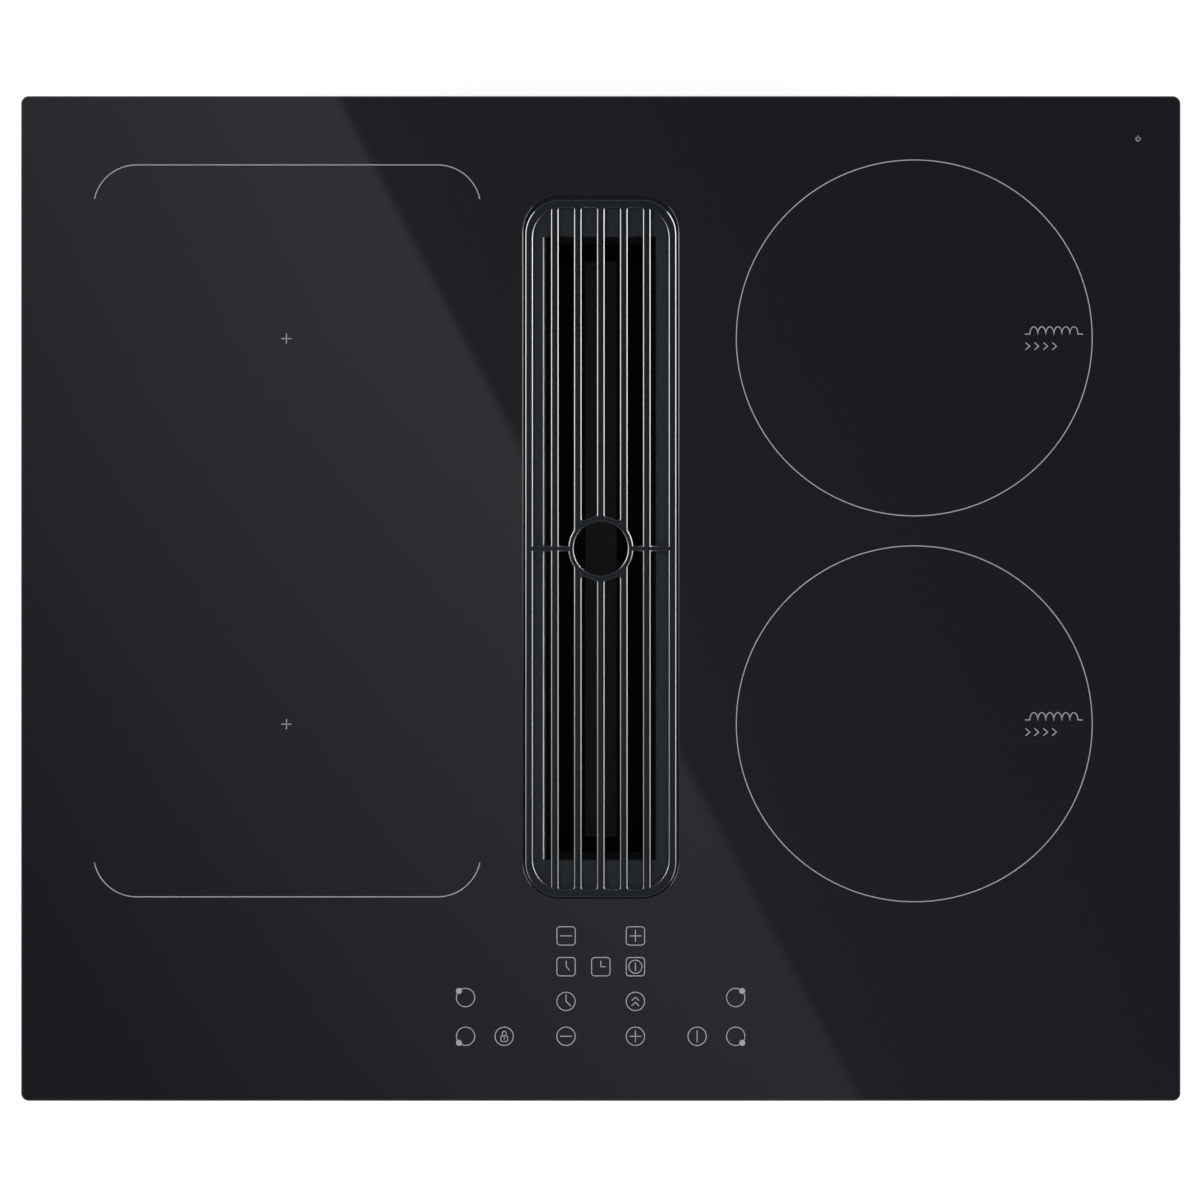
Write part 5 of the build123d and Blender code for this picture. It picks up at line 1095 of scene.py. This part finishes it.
class COOKTOP_OT_casing(bpy.types.Operator):
    """Finishes the steel casing and adds its lapped corners, beads, screws and bare plate"""

    bl_idname = "cooktop.casing"
    bl_label = "Steel Casing"

    lap_end = CASE_X - 5
    lap_width, lap_thickness = 15.0, 0.8
    lap_rivets = (-46, -27, -8)
    bead_runs = ((176, -110, 168), (236, -118, 110))
    bead_r, bead_levels = 4.0, ((0.1, 0.0), (-0.5, 0.35), (-0.85, 1.0), (-1.0, 2.0))
    pillars = ((261.2, -152.0), (261.2, 226.0))
    board_posts = ((249.2, -97.0), (249.2, 177.0))
    fan_holes = ((148.75, -227.25), (231.25, -227.25), (231.25, -144.75))
    plate_at, plate_size, plate_corner = (207.0, 60.0), (44, 66), 3.0
    plate_rivet_inset = 3.5

    def execute(self, context):
        dress("casing_tray", "plate_pillars", "clamp_pivots")
        self.corner_laps()
        self.beads()
        self.screws()
        self.plate()
        return {"FINISHED"}

    def corner_laps(self):
        """The side walls' tabs, folded round onto the front and rear walls and riveted."""
        laps, rivets = [], []
        wall = CASE_Y + self.lap_thickness
        for sx in SIDES:
            x0, x1 = sorted((sx * (self.lap_end - self.lap_width), sx * self.lap_end))
            for sy in SIDES:
                y0, y1 = sorted((sy * (CASE_Y - 0.1), sy * wall))
                laps.append(((x0, y0, CASE_BOTTOM + 3), (x1, y1, CASE_TOP - 2)))
                for z in self.lap_rivets:
                    place = (sx * (self.lap_end - self.lap_width / 2), sy * wall, z)
                    rivets.append((place, (0, sy, 0), 2.2, 0.9))
        blocks("corner_laps", "cooktop", "galvanised", laps)
        heads("corner_rivets", "cooktop", rivets, rivet)

    def beads(self):
        """Long stiffening beads pressed outward in the casing's floor."""
        bm = bmesh.new()
        for sx in SIDES:
            for x, y0, y1 in self.bead_runs:
                mound(bm, sx * x, y0, y1, CASE_BOTTOM, self.bead_r, 10, self.bead_levels)
        put_in(bm, "floor_beads", "cooktop", "galvanised", smooth=50)

    def screws(self):
        """Screws of the pillars, boards and fans in the casing's floor."""
        socket_head = [(3.6, -0.2), (3.6, 0.4), (3.2, 0.9), (1.7, 0.9, 0.2), (1.6, 0.3, 0.2)]
        bm = bmesh.new()
        for sx in SIDES:
            for x, y in self.pillars:
                lathe(bm, (sx * x, y, CASE_BOTTOM), DOWN, socket_head)
            for x, y in self.board_posts:
                rivet(bm, (sx * x, y, CASE_BOTTOM), DOWN, 2.6, 0.8)
            for x, y in self.fan_holes:
                screw(bm, (sx * x, y, CASE_BOTTOM), DOWN, 3.0, 1.9)
        put_in(bm, "casing_screws", "cooktop", "zinc_steel")

    def plate(self):
        """A bare plate riveted to the casing's floor."""
        (x, y), (width, height) = self.plate_at, self.plate_size
        loops = []
        for drop, inset in ((0.1, 0.0), (-0.35, 0.0), (-0.45, 0.15)):
            outline = rounded((x, y), width - 2 * inset, height - 2 * inset, self.plate_corner)
            loops.append([(u, v, CASE_BOTTOM + drop) for u, v in outline])
        bm = bmesh.new()
        skin(bm, loops)
        put_in(bm, "bare_plate", "cooktop", "plate_aluminium")
        u, v = width / 2 - self.plate_rivet_inset, height / 2 - self.plate_rivet_inset
        places = [(x + sx * u, y + sy * v, CASE_BOTTOM - 0.4) for sx in SIDES for sy in SIDES]
        heads("plate_rivets", "cooktop", [(place, DOWN, 1.4, 0.7) for place in places], rivet)


# ==================================================================== lower housing and tank
class COOKTOP_OT_housing(bpy.types.Operator):
    """Finishes the lower housing and adds its moulded ribs and flange screws"""

    bl_idname = "cooktop.housing"
    bl_label = "Lower Housing"

    side_x, front_y, rear_y = 150.0, -160.0, 215.0
    flange_z, flange_middle = -60.5, 4.0
    # Each level of a rib, from its top: its height, how far it stands out, and half its width.
    rib_levels = (
        (flange_z + 0.2, 6.4, 1.2), (-76, 3.2, 1.1), (-150, 2.2, 1.0), (-193, 1.2, 0.8), (-196, 0.1, 0.7),
    )

    def execute(self, context):
        dress("lower_housing", "plenum_seal", "air_well")
        self.ribs()
        self.screws()
        return {"FINISHED"}

    def ribs(self):
        """Upright ribs under the flange, deepest at their top."""
        bm = bmesh.new()
        for sx in SIDES:
            for y in (-135, -90, -45, 0, 45, 90, 135, 180):
                self.rib(bm, (sx * self.side_x, y, 0), Vector((sx, 0, 0)))
        for x in (-128, -98, 98, 128):
            self.rib(bm, (x, self.front_y, 0), FRONT)
        for x in (-125, -90, -55, -25):
            self.rib(bm, (x, self.rear_y, 0), REAR)
        put_in(bm, "housing_ribs", "cooktop", "housing_plastic")

    def rib(self, bm, foot, out):
        """One rib whose depth tapers to nothing at its lower end."""
        across = Vector((-out.y, out.x, 0))
        loops = []
        for z, reach, half in self.rib_levels:
            corners = [(-0.3, -half), (reach - 0.4, -half), (reach, -half + 0.4)]
            corners += [(reach, half - 0.4), (reach - 0.4, half), (-0.3, half)]
            loops.append([Vector(foot) + out * u + across * v + UP * z for u, v in corners])
        skin(bm, loops)

    def screws(self):
        """Washer-head screws up through the flange."""
        bm = bmesh.new()
        out = self.flange_middle
        places = [(sx * (self.side_x + out), y) for sx in SIDES for y in (-150, -67, 22, 112, 203)]
        places += [(x, self.front_y - out) for x in (-110, 0, 110)]
        places += [(x, self.rear_y + out) for x in (-110, -40, 70, 140)]
        for x, y in places:
            lathe(bm, (x, y, self.flange_z), DOWN, [(3.6, -0.1), (3.6, 0.6), (3.3, 0.9), (2.0, 0.9)])
            screw(bm, (x, y, self.flange_z - 0.8), DOWN, 2.5, 1.8)
        put_in(bm, "flange_screws", "cooktop", "zinc_steel")


class COOKTOP_OT_tank(bpy.types.Operator):
    """Finishes the overflow tank and adds its raised border, grip and drop sign"""

    bl_idname = "cooktop.tank"
    bl_label = "Overflow Tank"

    front, middle_z = -163.0, -173.5
    border_size, border_corner = (113, 42), 3.0
    border = [(-1.0, -0.2), (1.0, -0.2), (0.6, 0.7), (-0.6, 0.7)]
    sign_line = [(-0.35, -0.1), (0.35, -0.1), (0.25, 0.3), (-0.25, 0.3)]

    def execute(self, context):
        dress("overflow_tank")
        outline = rounded((0, self.middle_z), *self.border_size, self.border_corner)
        path = [(x, self.front, z) for x, z in outline]
        hoops("tank_border", "tank", "tank_plastic", [path], self.border, FRONT)

        near, far = self.front - 8.6, self.front - 0.6
        bars = [((x - 0.7, near, -161.7), (x + 0.7, far, -160.9)) for x in range(-20, 21, 4)]
        blocks("tank_grip", "tank", "tank_plastic", bars, 0.25)

        drop = [(0, 5.0)] + arc((0, -1.0), 3.0, 30, -210, 20)
        path = [(38 + u, self.front, self.middle_z - 6 + v) for u, v in drop]
        hoops("tank_drop_sign", "tank", "tank_plastic", [path], self.sign_line, FRONT)
        return {"FINISHED"}


# ==================================================================== outlet and terminal box
class COOKTOP_OT_outlet(bpy.types.Operator):
    """Finishes the outlet collar and its flap, with beads, screws, ribs and a soft lip"""

    bl_idname = "cooktop.outlet"
    bl_label = "Outlet"

    middle_x, middle_z = 69.5, -155.0
    duct_size, duct_corner = (150, 70), 3.0
    bead_places = (228.0, 250.0)
    bead = [(-0.1, -0.9), (0.7, -0.35), (0.7, 0.35), (-0.1, 0.9)]
    flange_y = 217.0
    screw_x, screw_z = 78.6, 38.6
    flap_y = 223.6

    def execute(self, context):
        dress("outlet_collar", "damper_flap")
        x, y, z = self.middle_x, self.flap_y, self.middle_z
        outline = rounded((x, z), *self.duct_size, self.duct_corner)
        paths = [[(u, bead_y, v) for u, v in outline] for bead_y in self.bead_places]
        hoops("collar_beads", "cooktop", "black_plastic", paths, self.bead, REAR)

        places = []
        for side in SIDES:
            places += [(x + side * self.screw_x, self.flange_y, z + v) for v in (-20, 20)]
            places += [(x + u, self.flange_y, z + side * self.screw_z) for u in (-45, 0, 45)]
        heads("collar_screws", "cooktop", [(place, REAR, 2.3, 1.6) for place in places])

        low = node_box("damper_flap")[0].z
        ribs = []
        for u in (-50, -25, 0, 25, 50):
            ribs.append(((x + u - 0.7, y - 0.1, low + 5), (x + u + 0.7, y + 1.1, -130)))
        for rib_z in (low + 5, -157.5, -131.5):
            ribs.append(((x - 68, y - 0.1, rib_z), (x + 68, y + 1.0, rib_z + 1.5)))
        blocks("flap_ribs", "damper", "tank_plastic", ribs)
        blocks("flap_lip", "damper", "silicone", [((x - 70, y - 0.1, low), (x + 70, y + 0.7, low + 3.5))])
        return {"FINISHED"}


class COOKTOP_OT_terminal(bpy.types.Operator):
    """Finishes the mains terminal box, its block and cover, and adds screws, a gland nut and ribs"""

    bl_idname = "cooktop.terminal"
    bl_label = "Terminal Box"

    middle_x = -210.0
    low_z = -88.0
    front_y, rear_y = 188.0, 238.0
    entry_z = -71.0
    cover_y = 189.2
    ways = 5
    nut = [(8.7, 1.5), (11.0, 1.5, 0.35), (11.4, 2.2, 0.35), (11.4, 5.6, 0.35), (10.8, 6.6), (8.7, 6.6)]

    def execute(self, context):
        dress("terminal_box", "terminal_block", "terminal_cover")
        middle, cover = self.middle_x, self.cover_y
        bm = bmesh.new()
        lathe(bm, (middle, self.rear_y, self.entry_z), REAR, self.nut, steps=36, ring=True)
        put_in(bm, "gland_nut", "cooktop", "black_plastic")

        rows = (self.front_y + 9, self.rear_y - 9)
        screws = [((middle + u, y, self.low_z), DOWN, 2.6, 1.8) for u in (-32, 32) for y in rows]
        low, high = node_box("terminal_block")
        for way in range(self.ways):
            x = low.x + (high.x - low.x) / self.ways * (way + 0.5)
            screws.append(((x, (low.y + high.y) / 2, high.z - 5.5), UP, 2.9, 1.8))
        heads("terminal_screws", "cooktop", screws)

        bars = []
        for z in (-82.0, -79.0, -76.0):
            bars.append(((middle - 14, cover - 0.7, z), (middle + 14, cover + 0.1, z + 1.4)))
        blocks("cover_grip", "cover", "black_plastic", bars)
        heads("cover_screws", "cover", [((middle + u, cover, -80.0), FRONT, 2.4, 0.9) for u in (-30, 30)])
        return {"FINISHED"}


# ==================================================================== clamps
class COOKTOP_OT_clamps(bpy.types.Operator):
    """Finishes the four worktop clamps and adds their screw threads, knurls and pressed ribs"""

    bl_idname = "cooktop.clamps"
    bl_label = "Worktop Clamps"

    pivots = {
        "clamp_front_left": (-262.0, -130.0),
        "clamp_rear_left": (-262.0, 130.0),
        "clamp_front_right": (262.0, -130.0),
        "clamp_rear_right": (262.0, 130.0),
    }
    reach = 36.0
    arm_low = -60.0
    thread_low, thread_r, thread_steps = -90.2, 2.4, 18
    knob_low = -93.3
    knurl = [(4.7, 0.0), (5.2, 0.3, 0.22), (5.2, 2.6, 0.22), (4.7, 2.9)]
    rib_r, rib_levels = 2.2, ((0.1, 0.0), (-0.5, 0.3), (-0.8, 1.1))

    def execute(self, context):
        pitch = context.scene.cooktop_hardware.thread_pitch / MM
        for name, (x, y) in self.pivots.items():
            dress(name)
            tip = y - self.reach
            bm = bmesh.new()
            self.thread(bm, (x, tip), pitch)
            lathe(bm, (x, tip, self.knob_low), UP, self.knurl, steps=96, lobes=24, ring=True)
            mound(bm, x, tip + 8, y - 9, self.arm_low, self.rib_r, 8, self.rib_levels)
            put_in(bm, name + "_detail", name, "zinc_steel")
        return {"FINISHED"}

    def thread(self, bm, centre, pitch):
        """A helical ridge round the jack screw."""
        turns = (self.arm_low - 0.4 - self.thread_low) / pitch
        path = []
        for step in range(int(turns * self.thread_steps)):
            turn = 2 * pi * step / self.thread_steps
            x, y = centre[0] + self.thread_r * cos(turn), centre[1] + self.thread_r * sin(turn)
            path.append((x, y, self.thread_low + pitch * step / self.thread_steps))
        half = pitch * 0.42
        sweep(bm, path, [(0, -half), (0.5, -0.05), (0.5, 0.05), (0, half)])


# ==================================================================== hidden workings
class COOKTOP_OT_workings(bpy.types.Operator):
    """Finishes what sits inside: coils, boards, fans, touch control, blower and motor"""

    bl_idname = "cooktop.workings"
    bl_label = "Inner Workings"

    def execute(self, context):
        dress(*(name for name, item in frame["nodes"].items() if not self.is_dressed(item)))
        return {"FINISHED"}

    def is_dressed(self, item):
        """True if another step has given the node its finish or hidden it."""
        made = set(finish_materials.values())
        return item.hide_render or any(slot.material in made for slot in item.material_slots)


# ==================================================================== panel, registration and run
PIECES = (
    COOKTOP_OT_glass,
    COOKTOP_OT_signs,
    COOKTOP_OT_grille,
    COOKTOP_OT_filter,
    COOKTOP_OT_casing,
    COOKTOP_OT_housing,
    COOKTOP_OT_tank,
    COOKTOP_OT_outlet,
    COOKTOP_OT_terminal,
    COOKTOP_OT_clamps,
    COOKTOP_OT_workings,
    COOKTOP_OT_stage,
)
SETTINGS = {
    "cooktop_stage": StageSettings,
    "cooktop_print": PrintSettings,
    "cooktop_finishes": FinishSettings,
    "cooktop_hardware": HardwareSettings,
}


class COOKTOP_PT_panel(bpy.types.Panel):
    """Lists the cooktop's settings and the steps that build its look"""

    bl_idname = "COOKTOP_PT_panel"
    bl_label = "Cooktop"
    bl_space_type = "VIEW_3D"
    bl_region_type = "UI"
    bl_category = "Cooktop"

    def draw(self, context):
        for name, group in SETTINGS.items():
            box = self.layout.box()
            box.label(text=group.__doc__)
            for setting in group.__annotations__:
                box.prop(getattr(context.scene, name), setting)
        for piece in PIECES:
            self.layout.operator(piece.bl_idname)


def register():
    for group in SETTINGS.values():
        bpy.utils.register_class(group)
    for name, group in SETTINGS.items():
        setattr(bpy.types.Scene, name, PointerProperty(type=group))
    for made in (*PIECES, COOKTOP_PT_panel):
        bpy.utils.register_class(made)


def unregister():
    for made in (COOKTOP_PT_panel, *reversed(PIECES)):
        bpy.utils.unregister_class(made)
    for name in SETTINGS:
        delattr(bpy.types.Scene, name)
    for group in reversed(SETTINGS.values()):
        bpy.utils.unregister_class(group)


def corners():
    """The object's lowest and highest corner as plain lists, in metres."""
    return [list(corner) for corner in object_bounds()]


def main():
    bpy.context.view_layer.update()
    register()
    bpy.ops.cooktop.glass()
    bpy.ops.cooktop.signs()
    bpy.ops.cooktop.grille()
    bpy.ops.cooktop.filter()
    bpy.ops.cooktop.casing()
    bpy.ops.cooktop.housing()
    bpy.ops.cooktop.tank()
    bpy.ops.cooktop.outlet()
    bpy.ops.cooktop.terminal()
    bpy.ops.cooktop.clamps()
    bpy.ops.cooktop.workings()
    bpy.ops.cooktop.stage()


if __name__ == "__main__":
    main()
